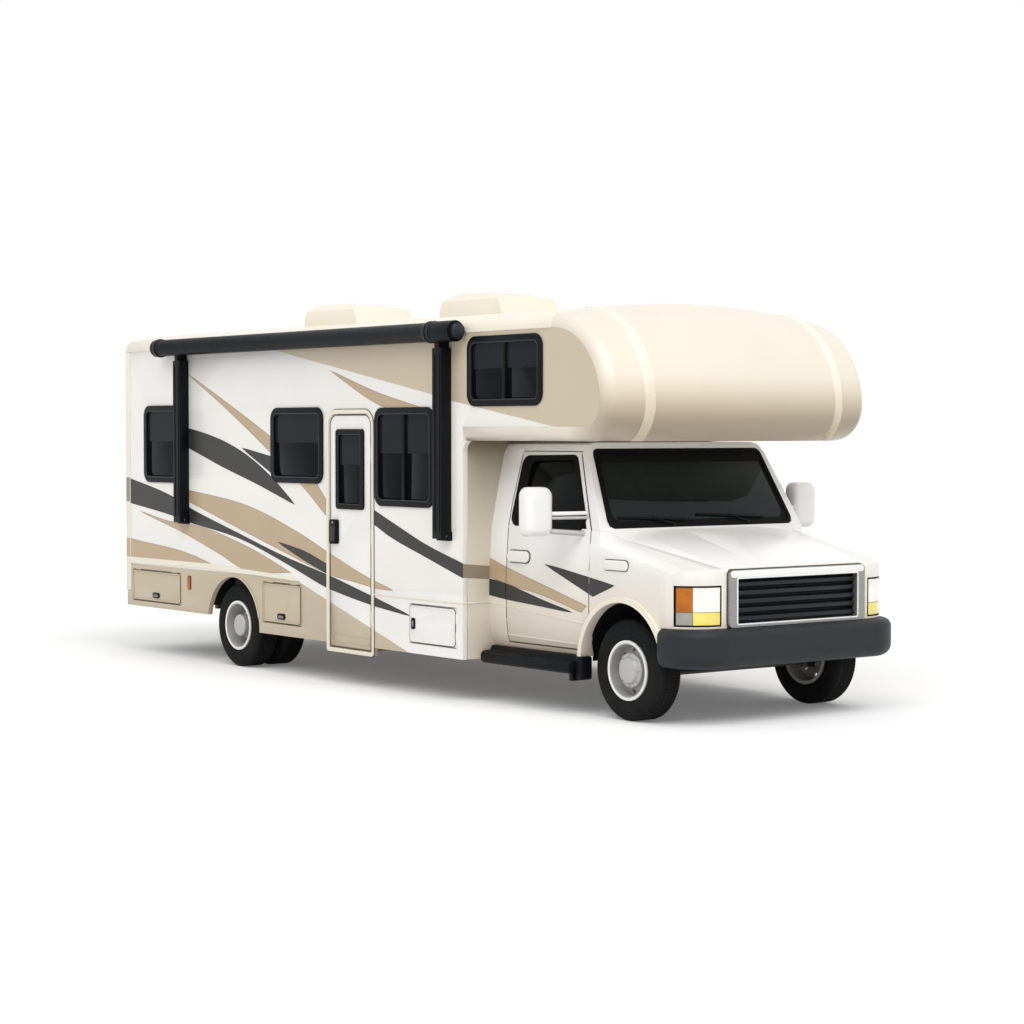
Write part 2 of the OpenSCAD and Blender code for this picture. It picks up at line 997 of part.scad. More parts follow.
module grille_slats() {
    color("black") {
        yz(grille_x - 60, grille_x - 46)
            rect(25 - grille_hw, grille_low_z + 11, grille_hw - 25, grille_top_z - 41);
        for (i = [0:4])
            xz(80 + seam - grille_hw, grille_hw - 80 - seam)
                translate([grille_x - 47, grille_low_z + 34 + i * 60])
                    polygon([[0, 0], [45, 10], [45, 36], [0, 50]]);
    }
}

module headlamps() {
    color("lightgray")
        both_sides()
            difference() {
                intersection() {
                    front_lens();
                    lamp_box(lamp_in + seam, cab_hw + 20, 708 + seam, 992 - seam);
                }
                lamp_box(lamp_in + 146 - seam, cab_hw + 20, 866 - seam, 992);
            }
}

// Section of the front bumper: distance out from the corner axis, height
module bumper_section() {
    r = bumper_r;
    low_r = 85;
    top_r = 60;
    polygon(concat(
        [[r - low_r - 10, bumper_low_z]],
        arc_points(r - low_r, bumper_low_z + low_r, low_r, -90, 0, 6),
        arc_points(r - top_r, bumper_top_z - top_r, top_r, 0, 90, 6),
        [[r - 95, bumper_top_z], [r - 95, bumper_top_z - 30], [r - 70, bumper_top_z - 35]],
        [[r - 70, bumper_low_z + 60]]
    ));
}

module front_bumper() {
    cx = overall_l / 2 - bumper_r;
    cy = cab_hw + 42 - bumper_r;
    back = front_axle_x + arch_r - 25;
    color("dimgray") {
        xz(-cy, cy)
            translate([cx, 0])
                bumper_section();
        both_sides() {
            translate([cx, -cy, 0])
                rotate(-90)
                    rotate_extrude(angle = 90)
                        bumper_section();
            yz(back, cx)
                mirror([1, 0])
                    translate([cy, 0])
                        bumper_section();
        }
    }
}

module running_boards() {
    x0 = coach_front_x + 10;
    x1 = front_axle_x - arch_r - flare_w - 8;
    color("black")
        both_sides() {
            yz(x0, x1)
                translate([-cab_hw, 0])
                    polygon([[120, 330], [-65, 300], [-90, 318], [-90, 372], [-70, 392],
                        [0, 398], [15, cab_low_z], [120, cab_low_z]]);
            translate([x1 - 40, -cab_hw - 55, 250])
                cube([40, 175, 55]);
        }
}

module wheel_liners() {
    r = arch_r + 6;
    color("black")
        both_sides()
            difference() {
                intersection() {
                    union() {
                        cabin_solid(cab_t + seam);
                        front_solid(cab_t + seam);
                    }
                    xz(-cab_hw, -530)
                        difference() {
                            union() {
                                arch_disc(r + 8);
                                rect(front_axle_x - r - 8, 330, front_axle_x + r + 8, arch_cz);
                            }
                            rect(front_axle_x - big, -big, front_axle_x + big, 330);
                        }
                }
                xz(-big / 2, -540) {
                    arch_disc(r);
                    rect(front_axle_x - r, 0, front_axle_x + r, arch_cz);
                }
                xz(-545, 0)
                    rect(front_axle_x - 260, 0, front_axle_x + 260, rail_z + 30);
            }
}

module dashboard() {
    hw = cab_hw - cab_t - 34;
    x1 = cowl_fx - 60;
    column = [x1 - 62, steer_y, 1210];
    color("dimgray") {
        xz(-hw, hw)
            polygon([[x1, 900], [x1, 1290], [x1 - 150, 1318], [x1 - 290, 1250], [x1 - 300, 1152],
                [x1 - 194, 1110], [x1 - 170, 900]]);
        translate(column)
            rotate([0, -62, 0])
                cylinder(r = 30, h = 290);
    }
}

module seat(y) {
    x0 = coach_front_x + 290;
    z = floor_z + 40;
    translate([x0 + 60, y - 190, z])
        cube([400, 380, 190]);
    xz(y - 260, y + 260)
        rrect(x0, z + 190, x0 + 540, z + 340, 60);
    translate([x0 + 20, y - 250, z + 300])
        rotate([0, -12, 0]) {
            xz(0, 500)
                rrect(0, 0, 130, 610, 60);
            translate([20, 120, 590])
                xz(0, 260)
                    rrect(0, 0, 95, 170, 40);
        }
}

module seats() {
    color("gray") {
        seat(-seat_y);
        seat(seat_y);
    }
}

module steering_wheel() {
    color("black")
        translate([cowl_fx - 122, steer_y, 1210])
            rotate([0, -62, 0])
                translate([0, 0, 290.5]) {
                    rotate_extrude()
                        translate([186, 30])
                            circle(15);
                    cylinder(r = 48, h = 42);
                    for (a = [90, 210, 330])
                        rotate([0, 0, a])
                            translate([30, -16, 22])
                                cube([150, 32, 14]);
                }
}

module frame_rails() {
    x0 = coach_rear_x + 120;
    x1 = overall_l / 2 - 190;
    inner = rail_hw - rail_w;
    color("black") {
        both_sides()
            translate([x0, inner, rail_z])
                cube([x1 - x0, rail_w, rail_h - seam]);
        for (x = [x0, rear_axle_x - 900, rear_axle_x + 900, rear_axle_x + 2000, coach_front_x - 600])
            translate([x, -inner, beam_z])
                cube([80, 2 * inner, 90]);
        translate([x1 - 70, -inner, beam_z])
            cube([70, 2 * inner, 90]);
        both_sides()
            translate([x1 - 70, inner, rail_z + 5])
                cube([overall_l / 2 - seam - x1, rail_w, 40]);
    }
}

module engine() {
    x0 = front_axle_x - 330;
    color("gray") {
        translate([x0 + 60, -250, 520])
            cube([560, 500, 500]);
        x_rod(x0 - 620, x0 + 61, 0, 610, 150);
    }
}

module driveline() {
    housing = rear_y - twin_pitch + twin_dish - 28;
    color("dimgray") {
        x_rod(rear_axle_x + 100, front_axle_x - 951, 0, axle_z + 60, 40);
        y_rod(rear_axle_x, axle_z, 60, -housing, housing);
        translate([rear_axle_x, 0, axle_z])
            sphere(r = 165);
        y_rod(rear_axle_x, axle_z, spindle_r, 35 - rear_y, rear_y - 35);
        x_rod(front_axle_x - 1000, front_axle_x - 951, 0, axle_z + 60, 60);
        translate([front_axle_x - 1000, -40, axle_z + 60])
            cube([49.6, 80, 200]);
    }
}

module front_axle() {
    color("dimgray") {
        xz(60 - kingpin_y, kingpin_y - 60)
            translate([front_axle_x, axle_z])
                union() {
                    square([34, 110], center = true);
                    translate([0, 45])
                        square([90, 22], center = true);
                    translate([0, -45])
                        square([90, 22], center = true);
                }
        both_sides() {
            translate([front_axle_x - 30, 20 - kingpin_y, axle_z - 40])
                cube([60, 60, 80]);
            translate([front_axle_x, -kingpin_y, axle_z - 52])
                cylinder(r = 36, h = 104);
            translate([front_axle_x, -kingpin_y, axle_z - 90])
                cylinder(r = kingpin_r, h = 180);
        }
    }
}

module coil(h) {
    cylinder(r = 44, h = h);
    n = 6;
    for (i = [0:n - 1])
        translate([0, 0, h * (i + 0.5) / n])
            rotate_extrude()
                translate([50, 0])
                    circle(11);
}

module leaf_pack() {
    span = 1300;
    rise = 150;
    r = (span * span / 4 + rise * rise) / (2 * rise);
    z0 = axle_z + 60;
    xz(480, 545)
        intersection() {
            translate([rear_axle_x, z0 + r])
                difference() {
                    circle(r, $fn = 200);
                    circle(r - 45, $fn = 200);
                }
            rect(rear_axle_x - span / 2, z0 - 1, rear_axle_x + span / 2, z0 + rise + 20);
        }
    for (s = [-1, 1]) {
        translate([rear_axle_x + s * (span / 2 - 30) - 40, rail_hw, z0 + rise - 30])
            cube([80, 113, 70]);
        translate([rear_axle_x + s * (span / 2 - 30) - 40, rail_hw, z0 + rise - 30])
            cube([80, 40, rail_z + 120 - z0 - rise]);
    }
}

module springs() {
    color("black")
        both_sides() {
            leaf_pack();
            translate([front_axle_x, rail_hw - rail_w / 2, axle_z + 56])
                coil(rail_z - axle_z - 56);
        }
}

module exhaust() {
    y = 290;
    z = 520;
    color("gray") {
        x_rod(coach_rear_x + 330, coach_front_x - 300, y, z, 28);
        x_rod(coach_front_x - 1300, coach_front_x - 640, y - 40, z - 20, 85);
        for (x = [rear_axle_x - 860, rear_axle_x + 940, coach_front_x - 560])
            translate([x, y, z])
                cylinder(r = 8, h = beam_z - z);
    }
}

module tanks() {
    color("dimgray") {
        translate([rear_axle_x - 1500, -340, beam_z - 200])
            cube([700, 560, 200]);
        translate([rear_axle_x + 900, -340, beam_z - 160])
            cube([700, 560, 160]);
    }
}

module tyre_section() {
    h = tyre_r - rim_r;
    w = tyre_w / 2;
    difference() {
        union() {
            translate([rim_r, -w + 28])
                square([h, 2 * w - 56]);
            translate([rim_r, -w])
                square([h - 40, 2 * w]);
            for (s = [-1, 1])
                translate([tyre_r - 40, s * (w - 40)])
                    circle(40);
        }
        for (s = [-1, 1])
            translate([rim_r, s * w])
                circle(22);
    }
}

module tyre(y) {
    translate([0, y, 0])
        rotate([-90, 0, 0])
            rotate_extrude($fn = 60)
                tyre_section();
}

module rim_section(dish) {
    w = tyre_w / 2 - 12;
    r = rim_r - seam;
    difference() {
        translate([r - 18, -w])
            square([18, 2 * w]);
        translate([r, 0])
            square([16, 90], center = true);
    }
    for (s = [-1, 1])
        translate([r - 14, s * w - 7])
            square([24, 14]);
    bore = spindle_r + bearing_gap;
    polygon([
        [bore, dish], [90, dish], [120, dish - 18], [r - 10, dish - 50],
        [r - 10, dish - 68], [112, dish - 40], [88, dish - 22], [bore, dish - 22],
    ]);
}

module rim(y, dish) {
    translate([0, y, 0])
        rotate([-90, 0, 0])
            difference() {
                rotate_extrude($fn = 60)
                    rim_section(dish);
                for (i = [0:7])
                    rotate([0, 0, i * 45])
                        translate([148, 0, -200])
                            cylinder(r = 17, h = 400, $fn = 24);
            }
}

module hub_cap(y0, y1) {
    translate([0, y0, 0])
        rotate([-90, 0, 0])
            cylinder(r = 58, h = y1 - y0);
}

module rear_rims() {
    translate([rear_axle_x, 0, axle_z]) {
        rim(rear_y, -10);
        difference() {
            rim(rear_y - twin_pitch, twin_dish);
            y_rod(0, 0, 60, 0, rear_y - twin_pitch);
        }
        difference() {
            y_rod(0, 0, 70, rear_y - twin_pitch + 56, rear_y - 31);
            y_rod(0, 0, spindle_r + bearing_gap, 0, rear_y + 2 * tyre_w);
        }
        hub_cap(rear_y - 34, rear_y + 50);
    }
}

module front_rim() {
    translate([front_axle_x, 0, axle_z]) {
        rim(front_y, 70);
        hub_cap(front_y + 62, front_y + 104);
    }
}

module front_tyre() {
    translate([front_axle_x, 0, axle_z])
        tyre(front_y);
}

module rear_tyres() {
    translate([rear_axle_x, 0, axle_z]) {
        tyre(rear_y);
        tyre(rear_y - twin_pitch);
    }
}

module knuckle() {
    gap = 0.5;
    color("dimgray")
        translate([front_axle_x, kingpin_y, axle_z]) {
            difference() {
                union() {
                    for (z = [52 + gap, -82 - gap])
                        translate([0, 0, z])
                            cylinder(r = 34, h = 30);
                    translate([-34, 0, 52 + gap])
                        cube([68, 76, 30]);
                    translate([-34, 0, -82 - gap])
                        cube([68, 76, 30]);
                    translate([-34, 46, -82])
                        cube([68, 30, 164]);
                }
                translate([0, 0, -120])
                    cylinder(r = kingpin_r + bearing_gap, h = 240);
            }
            y_rod(0, 0, 52, 74, front_y - kingpin_y + 42);
            y_rod(0, 0, spindle_r, 70, front_y - kingpin_y + 58);
        }
}

module cab_door() {
    color("white")
        difference() {
            intersection() {
                difference() {
                    cabin_solid(0);
                    cabin_solid(cab_t);
                }
                xz(-big / 2, -500)
                    cab_door_outline(0);
            }
            xz(-big / 2, -500)
                cab_window_outline(0);
            for (z = DOOR_HINGE_Z)
                translate([door_fx + shut_gap / 2, 3 - cab_hw, z - 5])
                    cylinder(r = pin_r + pin_gap, h = 100);
        }
}

module cab_glass() {
    color("darkslategray")
        intersection() {
            difference() {
                cabin_solid(12);
                cabin_solid(18);
            }
            xz(-big / 2, -500)
                cab_window_outline(-seam);
        }
}

module door_mirror() {
    x = coach_front_x + 975;
    out = cab_hw + mirror_reach;
    color("white")
        difference() {
            union() {
                yz(x - 60, x + 60)
                    rrect(-out, cowl_z - 50, 225 - out, cowl_z + 292, 45);
                xz(210 - out, 90 - cab_hw)
                    rrect(x + 10, cowl_z - 58, x + 90, cowl_z - 4, 22);
            }
            cabin_solid(-seam);
        }
}

module entry_door() {
    pin_x = step_x + entry_w + shut_gap / 2;
    wx = step_x + 118;
    color("white")
        difference() {
            union() {
                xz(-half_w, wall_t - half_w)
                    difference() {
                        entry_outline(0);
                        rrect(wx, 1450, wx + 364, 2050, 50);
                    }
                xz(-half_w - 30, 5 - half_w)
                    rrect(wx - 90, 1140, wx + 15, 1340, 20);
            }
            for (z = [495, 1145, 1795])
                translate([pin_x, -half_w, z])
                    cylinder(r = pin_r + pin_gap, h = 140);
        }
}

module entry_glass() {
    wx = step_x + 118;
    color("black")
        xz(8 - half_w, 14 - half_w)
            rrect(wx + seam, 1450 + seam, wx + 364 - seam, 2050 - seam, 50 - seam);
}

module bin_door(b) {
    x0 = b[0];
    color("tan")
        difference() {
            union() {
                xz(-half_w, skirt_t - half_w)
                    bin_outline(b, 0);
                xz(-half_w - 10, -half_w)
                    rrect(x0 + b[2] / 2 - 60, b[1] + 36, x0 + b[2] / 2 + 60, b[1] + 86, 20);
            }
            for (x = [x0 + 55, x0 + b[2] - 165])
                x_rod(x, x + 110, -half_w, b[1] + b[3] + shut_gap / 2, pin_r + pin_gap);
        }
}

module bin_door_front() {
    b = BIN_FRONT;
    x0 = b[0];
    color("white")
        difference() {
            union() {
                xz(-half_w, skirt_t - half_w)
                    bin_outline(b, 0);
                xz(-half_w - 10, -half_w)
                    rrect(x0 + 26, b[1] + b[3] / 2 - 45, x0 + 76, b[1] + b[3] / 2 + 45, 22);
            }
            for (z = [b[1] + 35, b[1] + b[3] - 125])
                translate([x0 + b[2] + shut_gap / 2, -half_w, z])
                    cylinder(r = pin_r + pin_gap, h = 90);
        }
}

module mirrored() {
    mirror([0, 1, 0])
        children();
}

module rim_rear_left() { color("silver") rear_rims(); }
module rim_rear_right() { color("silver") mirrored() rear_rims(); }
module rim_front_left() { color("silver") front_rim(); }
module rim_front_right() { color("silver") mirrored() front_rim(); }
module tyre_rear_left() { color("black") rear_tyres(); }
module tyre_rear_right() { color("black") mirrored() rear_tyres(); }
module tyre_front_left() { color("black") front_tyre(); }
module tyre_front_right() { color("black") mirrored() front_tyre(); }
module knuckle_left() { knuckle(); }
module knuckle_right() { mirrored() knuckle(); }
module cab_door_right() { cab_door(); }
module cab_door_left() { mirrored() cab_door(); }
module cab_glass_right() { cab_glass(); }
module cab_glass_left() { mirrored() cab_glass(); }
module mirror_right() { door_mirror(); }
module mirror_left() { mirrored() door_mirror(); }
module bin_door_rear_right() { bin_door(BIN_REAR); }
module bin_door_mid_right() { bin_door(BIN_MID); }
module bin_door_front_right() { bin_door_front(); }
module bin_door_rear_left() { mirrored() bin_door(BIN_REAR); }

coach_floor();
wall_right();
wall_left();
wall_rear();
wall_front();
coach_roof();
cabover_cap();
skirts();
storage_bins();
window_frames();
window_glass();
awning();
roof_units();
rear_bumper();
hitch_receiver();
amber_lamps();
red_lamps();
cab_shell();
cab_front();
cab_floor();
windscreen();
grille_surround();
grille_slats();
headlamps();
front_bumper();
running_boards();
wheel_liners();
dashboard();
seats();
frame_rails();
engine();
driveline();
front_axle();
springs();
exhaust();
tanks();
steering_wheel();
knuckle_left();
knuckle_right();
rim_front_left();
rim_front_right();
rim_rear_left();
rim_rear_right();
tyre_front_left();
tyre_front_right();
tyre_rear_left();
tyre_rear_right();
cab_door_left();
cab_door_right();
cab_glass_left();
cab_glass_right();
mirror_left();
mirror_right();
bonnet();
entry_door();
entry_glass();
bin_door_rear_right();
bin_door_mid_right();
bin_door_front_right();
bin_door_rear_left();
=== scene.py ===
"""Class C motorhome: coach body on a cut-away van cab, dressed for looks over its CAD frame."""

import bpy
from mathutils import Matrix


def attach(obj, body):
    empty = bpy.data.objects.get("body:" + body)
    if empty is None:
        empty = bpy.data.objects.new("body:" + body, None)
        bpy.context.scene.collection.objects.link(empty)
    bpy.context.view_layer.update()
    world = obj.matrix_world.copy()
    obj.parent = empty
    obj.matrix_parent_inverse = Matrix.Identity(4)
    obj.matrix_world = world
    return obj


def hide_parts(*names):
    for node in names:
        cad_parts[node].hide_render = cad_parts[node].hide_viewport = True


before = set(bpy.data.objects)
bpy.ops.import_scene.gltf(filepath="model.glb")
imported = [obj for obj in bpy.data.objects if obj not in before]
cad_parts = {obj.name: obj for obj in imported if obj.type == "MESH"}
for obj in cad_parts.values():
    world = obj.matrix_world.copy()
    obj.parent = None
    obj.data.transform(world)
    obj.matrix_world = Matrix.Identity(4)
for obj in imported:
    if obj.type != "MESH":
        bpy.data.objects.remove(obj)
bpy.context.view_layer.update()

import logging
import math
from dataclasses import dataclass, field
from enum import Enum
from typing import Callable, Sequence

import bmesh
import bpy
from mathutils import Matrix, Vector

LOG = logging.getLogger("motorhome")
Vec = tuple[float, float, float]
Point = tuple[float, float]
Box = tuple[float, float, float, float]
Colour = tuple[int, int, int]
Outline = Sequence[Point]
Place = Callable[[float, float, float], Vec]
Piece = bpy.types.Object
Tree = bpy.types.NodeTree
Socket = bpy.types.NodeSocket
RIGHT, LEFT = -1, 1
SIDES = {RIGHT: "right", LEFT: "left"}
HALF_WIDTH = 1.27
COACH_REAR, COACH_FRONT = -3.855, 1.5
FRONT_AXLE_X, FRONT_ARCH_Z = 3.075, 0.405
REAR_AXLE_X, REAR_ARCH_Z = -1.905, 0.345
WING_SIDE = 1.02
SUNK = -0.002
PANE = (-0.0079, -0.006)
COWL = (2.81, 1.34)
SCREEN_LEAN = 0.531
CAB_SIDE = ((0.43, 0.972), (0.52, 1.002), (0.64, 1.017), (0.85, 1.02), (1.1, 1.014), (1.34, 0.998),
            (1.6, 0.944), (1.89, 0.88))
DUST, DUST_HEIGHT = (150, 139, 122), (0.95, 0.2)


def srgb(colour: Sequence[int]) -> tuple[float, float, float, float]:
    """Linear colour of an 8-bit screen colour.

    Args:
        colour: Red, green and blue from 0 to 255.

    Returns:
        Linear red, green, blue and an alpha of 1.
    """
    parts = [c / 255 for c in colour]
    line = [p / 12.92 if p <= 0.04045 else ((p + 0.055) / 1.055) ** 2.4 for p in parts]
    return (line[0], line[1], line[2], 1.0)


def fill(tree: Tree, node: bpy.types.Node, values: dict[str | int, object]) -> None:
    """Gives a node's inputs their values, and links those that are given a socket.

    Args:
        tree: The node's tree.
        node: The node.
        values: Numbers, colours or sockets, by input.
    """
    for key, value in values.items():
        if isinstance(value, Socket):
            tree.links.new(value, node.inputs[key])
        else:
            node.inputs[key].default_value = value


def add_node(tree: Tree, kind: str, values: dict[str | int, object] | None = None,
             **traits: str) -> bpy.types.Node:
    """A new shader node with its choices made and its inputs filled.

    Args:
        tree: The tree that it joins.
        kind: Blender's name for the kind of node.
        values: Numbers, colours or sockets, by input.
        traits: The node's own choices.

    Returns:
        The node.
    """
    node = tree.nodes.new(kind)
    for trait, value in traits.items():
        setattr(node, trait, value)
    fill(tree, node, values or {})
    return node


def mixed(tree: Tree, factor: object, first: object, second: object, blend: str = "MIX") -> Socket:
    """Two colours mixed by a factor."""
    values = {"Factor": factor, "A": first, "B": second}
    return add_node(tree, "ShaderNodeMix", values, data_type="RGBA", blend_type=blend).outputs["Result"]


class Grain(Enum):
    """The small relief that a surface shows."""

    PEEL = "peel"
    PEBBLE = "pebble"
    BRUSHED = "brushed"
    WEAVE = "weave"
    FLUTES = "flutes"


@dataclass(frozen=True)
class Finish:
    """A paint, plastic, metal or rubber with mottled colour, uneven gloss and a small relief."""

    name: str
    slot: str
    colour: Colour
    rough: float = 0.4
    metal: float = 0.0
    coat: float = 0.0
    alpha: float = 1.0
    specular: float = 0.5
    sheen: float = 0.0
    glow: float = 0.0
    mottle: float = 0.05
    mottle_scale: float = 2.5
    grain: Grain = Grain.PEEL
    grain_scale: float = 160.0
    grain_depth: float = 0.04
    dust: float = 0.0
    # bands and bands_x: painted shade, colours that the colour is multiplied by at given heights, faded in
    # across an X range.
    bands: tuple[tuple[float, Colour], ...] = ()
    bands_x: Point | None = None

    def material(self) -> bpy.types.Material:
        """The Blender material of this finish, made once.

        Returns:
            The material.
        """
        name = f"finish.{self.name}"
        known = bpy.data.materials.get(name)
        if known:
            return known
        mat = bpy.data.materials.new(name)
        mat.use_nodes = True
        tree = mat.node_tree
        coords = add_node(tree, "ShaderNodeTexCoord").outputs["Object"]
        colour = self._colour(tree, coords, self._noise(tree, coords, self.mottle_scale, 5.0))
        gloss = add_node(tree, "ShaderNodeMapRange", {
            "To Min": max(0.02, self.rough * 0.82), "To Max": min(1.0, self.rough * 1.18),
            "Value": self._noise(tree, coords, self.mottle_scale * 7, 3.0)})
        bump = add_node(tree, "ShaderNodeBump", {
            "Strength": self.grain_depth, "Distance": 0.002, "Height": self._relief(tree, coords)})
        shader = tree.nodes["Principled BSDF"]
        fill(tree, shader, {
            "Metallic": self.metal, "Coat Weight": self.coat, "Coat Roughness": 0.06, "Alpha": self.alpha,
            "Specular IOR Level": self.specular, "Sheen Weight": self.sheen,
            "Base Color": self._with_painted_shade(tree, coords, colour) if self.bands else colour,
            "Roughness": gloss.outputs["Result"], "Normal": bump.outputs["Normal"]})
        if self.glow:
            fill(tree, shader, {"Emission Color": srgb(self.colour), "Emission Strength": self.glow})
        return mat

    @staticmethod
    def _noise(tree: Tree, coords: Socket, scale: float, detail: float) -> Socket:
        """A noise value from 0 to 1, with so many waves in a metre and octaves of finer noise."""
        values = {"Scale": scale, "Detail": detail, "Vector": coords}
        return add_node(tree, "ShaderNodeTexNoise", values).outputs["Fac"]

    def _colour(self, tree: Tree, coords: Socket, cloud: Socket) -> Socket:
        """The mottled colour with road dust low down.

        Args:
            tree: The material's node tree.
            coords: Object coordinates.
            cloud: Noise that mottles the colour.

        Returns:
            The colour output.
        """
        out = self._shade(tree, self.colour, cloud)
        if not self.dust:
            return out
        split = add_node(tree, "ShaderNodeSeparateXYZ", {"Vector": coords})
        low = self._range(tree, split.outputs["Z"], DUST_HEIGHT, self.dust)
        spread = add_node(tree, "ShaderNodeMath", {0: low, 1: cloud}, operation="MULTIPLY")
        return mixed(tree, spread.outputs["Value"], out, srgb(DUST))

    def _with_painted_shade(self, tree: Tree, coords: Socket, colour: Socket) -> Socket:
        """The colour multiplied by painted shade that changes with height.

        Args:
            tree: The material's node tree.
            coords: Object coordinates.
            colour: The colour without the painted shade.

        Returns:
            The colour output.
        """
        split = add_node(tree, "ShaderNodeSeparateXYZ", {"Vector": coords}).outputs
        low, high = self.bands[0][0], self.bands[-1][0]
        ramp = add_node(tree, "ShaderNodeValToRGB", {"Fac": self._range(tree, split["Z"], (low, high))})
        stops = ramp.color_ramp.elements
        stops[0].color, stops[1].color = srgb(self.bands[0][1]), srgb(self.bands[-1][1])
        for z, shade_tone in self.bands[1:-1]:
            stops.new((z - low) / (high - low)).color = srgb(shade_tone)
        factor = self._range(tree, split["X"], self.bands_x) if self.bands_x else 1.0
        return mixed(tree, factor, colour, ramp.outputs["Color"], "MULTIPLY")

    @staticmethod
    def _range(tree: Tree, value: Socket, ends: Point, top: float = 1.0) -> Socket:
        """A value spread from 0 at one end to the top at the other."""
        values = {"From Min": ends[0], "From Max": ends[1], "To Max": top, "Value": value}
        return add_node(tree, "ShaderNodeMapRange", values).outputs["Result"]

    def _shade(self, tree: Tree, colour: Colour, cloud: Socket) -> Socket:
        """A colour that drifts a little darker and lighter.

        Args:
            tree: The material's node tree.
            colour: The middle colour, 0 to 255.
            cloud: Noise that drives the drift.

        Returns:
            The colour output.
        """
        ramp = add_node(tree, "ShaderNodeValToRGB", {"Fac": cloud})
        base = srgb(colour)
        for element, sign in zip(ramp.color_ramp.elements, (-1, 1)):
            element.position = 0.5 + sign * 0.18
            element.color = [min(1.0, c * (1 + sign * self.mottle)) for c in base[:3]] + [1.0]
        return ramp.outputs["Color"]

    def _relief(self, tree: Tree, coords: Socket) -> Socket:
        """The height pattern of the grain.

        Args:
            tree: The material's node tree.
            coords: Object coordinates.

        Returns:
            The height output.
        """
        values = {"Scale": self.grain_scale, "Vector": coords}
        if self.grain is Grain.PEBBLE:
            return add_node(tree, "ShaderNodeTexVoronoi", values).outputs["Distance"]
        if self.grain in (Grain.WEAVE, Grain.FLUTES):
            woven = self.grain is Grain.WEAVE
            values["Distortion"] = 0.6 if woven else 0.0
            way = "DIAGONAL" if woven else "Y"
            return add_node(tree, "ShaderNodeTexWave", values, bands_direction=way).outputs["Fac"]
        stretch = (0.06, 1, 1) if self.grain is Grain.BRUSHED else (1, 1, 1)
        place = add_node(tree, "ShaderNodeMapping", {"Scale": stretch, "Vector": coords})
        return self._noise(tree, place.outputs["Vector"], self.grain_scale, 4.0)


@dataclass(frozen=True)
class TwoTone(Finish):
    """A paint that changes to a second colour in front of a slanted line on the side."""

    second: Colour = (240, 238, 234)
    foot: Point = (0.772, 0.334)
    head: Point = (-0.746, 0.777)

    def _colour(self, tree: Tree, coords: Socket, cloud: Socket) -> Socket:
        """The first colour behind the slanted line and the second in front of it.

        Args:
            tree: The material's node tree.
            coords: Object coordinates.
            cloud: Noise that mottles both colours.

        Returns:
            The colour output.
        """
        back = super()._colour(tree, coords, cloud)
        front = self._shade(tree, self.second, cloud)
        run = Vector((self.foot[0] - self.head[0], self.foot[1] - self.head[1])).normalized()
        across = (-run.y, 0.0, run.x)
        dot = add_node(tree, "ShaderNodeVectorMath", {0: coords, 1: across}, operation="DOT_PRODUCT")
        line = -run.y * self.head[0] + run.x * self.head[1]
        ahead = add_node(tree, "ShaderNodeMath", {0: dot.outputs["Value"], 1: line}, operation="GREATER_THAN")
        return mixed(tree, ahead.outputs["Value"], back, front)


WHITE = Finish("coach_white", "body_white", (241, 239, 234), rough=0.32, coat=0.25, mottle=0.012, dust=0.10)
# Painted shade on the cab: multipliers by height that darken its white towards the bottom.
CAB_PAINTED_SHADE = ((0.43, (210, 199, 184)), (0.53, (228, 218, 204)), (0.75, (241, 234, 222)), (1.0, (247, 244, 238)),
            (1.2, (255, 255, 255)))
CAB_WHITE = Finish("cab_white", "body_white", (240, 239, 237), rough=0.3, coat=0.2, mottle=0.01,
                   bands=CAB_PAINTED_SHADE)
# Painted light on the bonnet: a lighter copy of the cab's white.
BONNET_PAINTED_LIGHT = Finish("bonnet_painted_light", "body_white", (251, 250, 248), rough=0.3, coat=0.15, mottle=0.008)
CREAM = Finish("cream_trim", "cream_gelcoat", (236, 229, 212), rough=0.34, coat=0.2, mottle=0.015, dust=0.15)
# Painted shade on the front wall under the cabover: darker at the foot and darkest up under the cap.
RECESS_PAINTED_SHADE = Finish("cream_recess", "cream_gelcoat", (250, 244, 233), rough=0.42, mottle=0.015, bands=(
    (0.4, (216, 212, 204)), (0.66, (229, 226, 219)), (1.1, (220, 215, 206)), (1.5, (208, 203, 194)),
    (1.75, (188, 183, 172)), (1.88, (164, 157, 144)), (1.985, (120, 112, 96))))
# Painted shade on the cap's front: its beige darkens down to the lower front turn, fading in from x 2.75 to
# 3.2.
BEIGE_PAINTED_SHADE = Finish("cap_gelcoat", "cream_gelcoat", (231, 222, 206), rough=0.32, coat=0.25, mottle=0.012, bands=(
    (1.98, (164, 154, 138)), (2.04, (170, 160, 144)), (2.14, (182, 172, 156)), (2.24, (212, 204, 190)),
    (2.34, (240, 235, 226)), (2.45, (255, 255, 255))), bands_x=(2.75, 3.2))
# Painted highlight on the cap's ribs: a lighter copy of the cap's beige, with painted shade low on the front.
RIB_HIGHLIGHT = Finish("cap_rib", "cream_gelcoat", (241, 233, 217), rough=0.28, coat=0.35, mottle=0.01, bands=(
    (1.98, (196, 188, 172)), (2.24, (232, 226, 214)), (2.45, (255, 255, 255))), bands_x=(2.75, 3.2))
TAN = Finish("stripe_tan", "skirt_tan", (186, 163, 131), rough=0.34, coat=0.15, mottle=0.02)
SAND = Finish("stripe_sand", "skirt_tan", (203, 189, 164), rough=0.34, coat=0.15, mottle=0.015)
CHARCOAL = Finish("stripe_charcoal", "black_trim", (52, 52, 51), rough=0.4, specular=0.3, mottle=0.05)
SKIRT = TwoTone("skirt_tan_white", "skirt_tan", (195, 180, 154), rough=0.34, coat=0.2, mottle=0.02, dust=0.15)
TINT = Finish("coach_glass", "tinted_glass", (15, 19, 22), rough=0.05, alpha=0.985, specular=0.07, mottle=0.2,
              grain_depth=0.0)
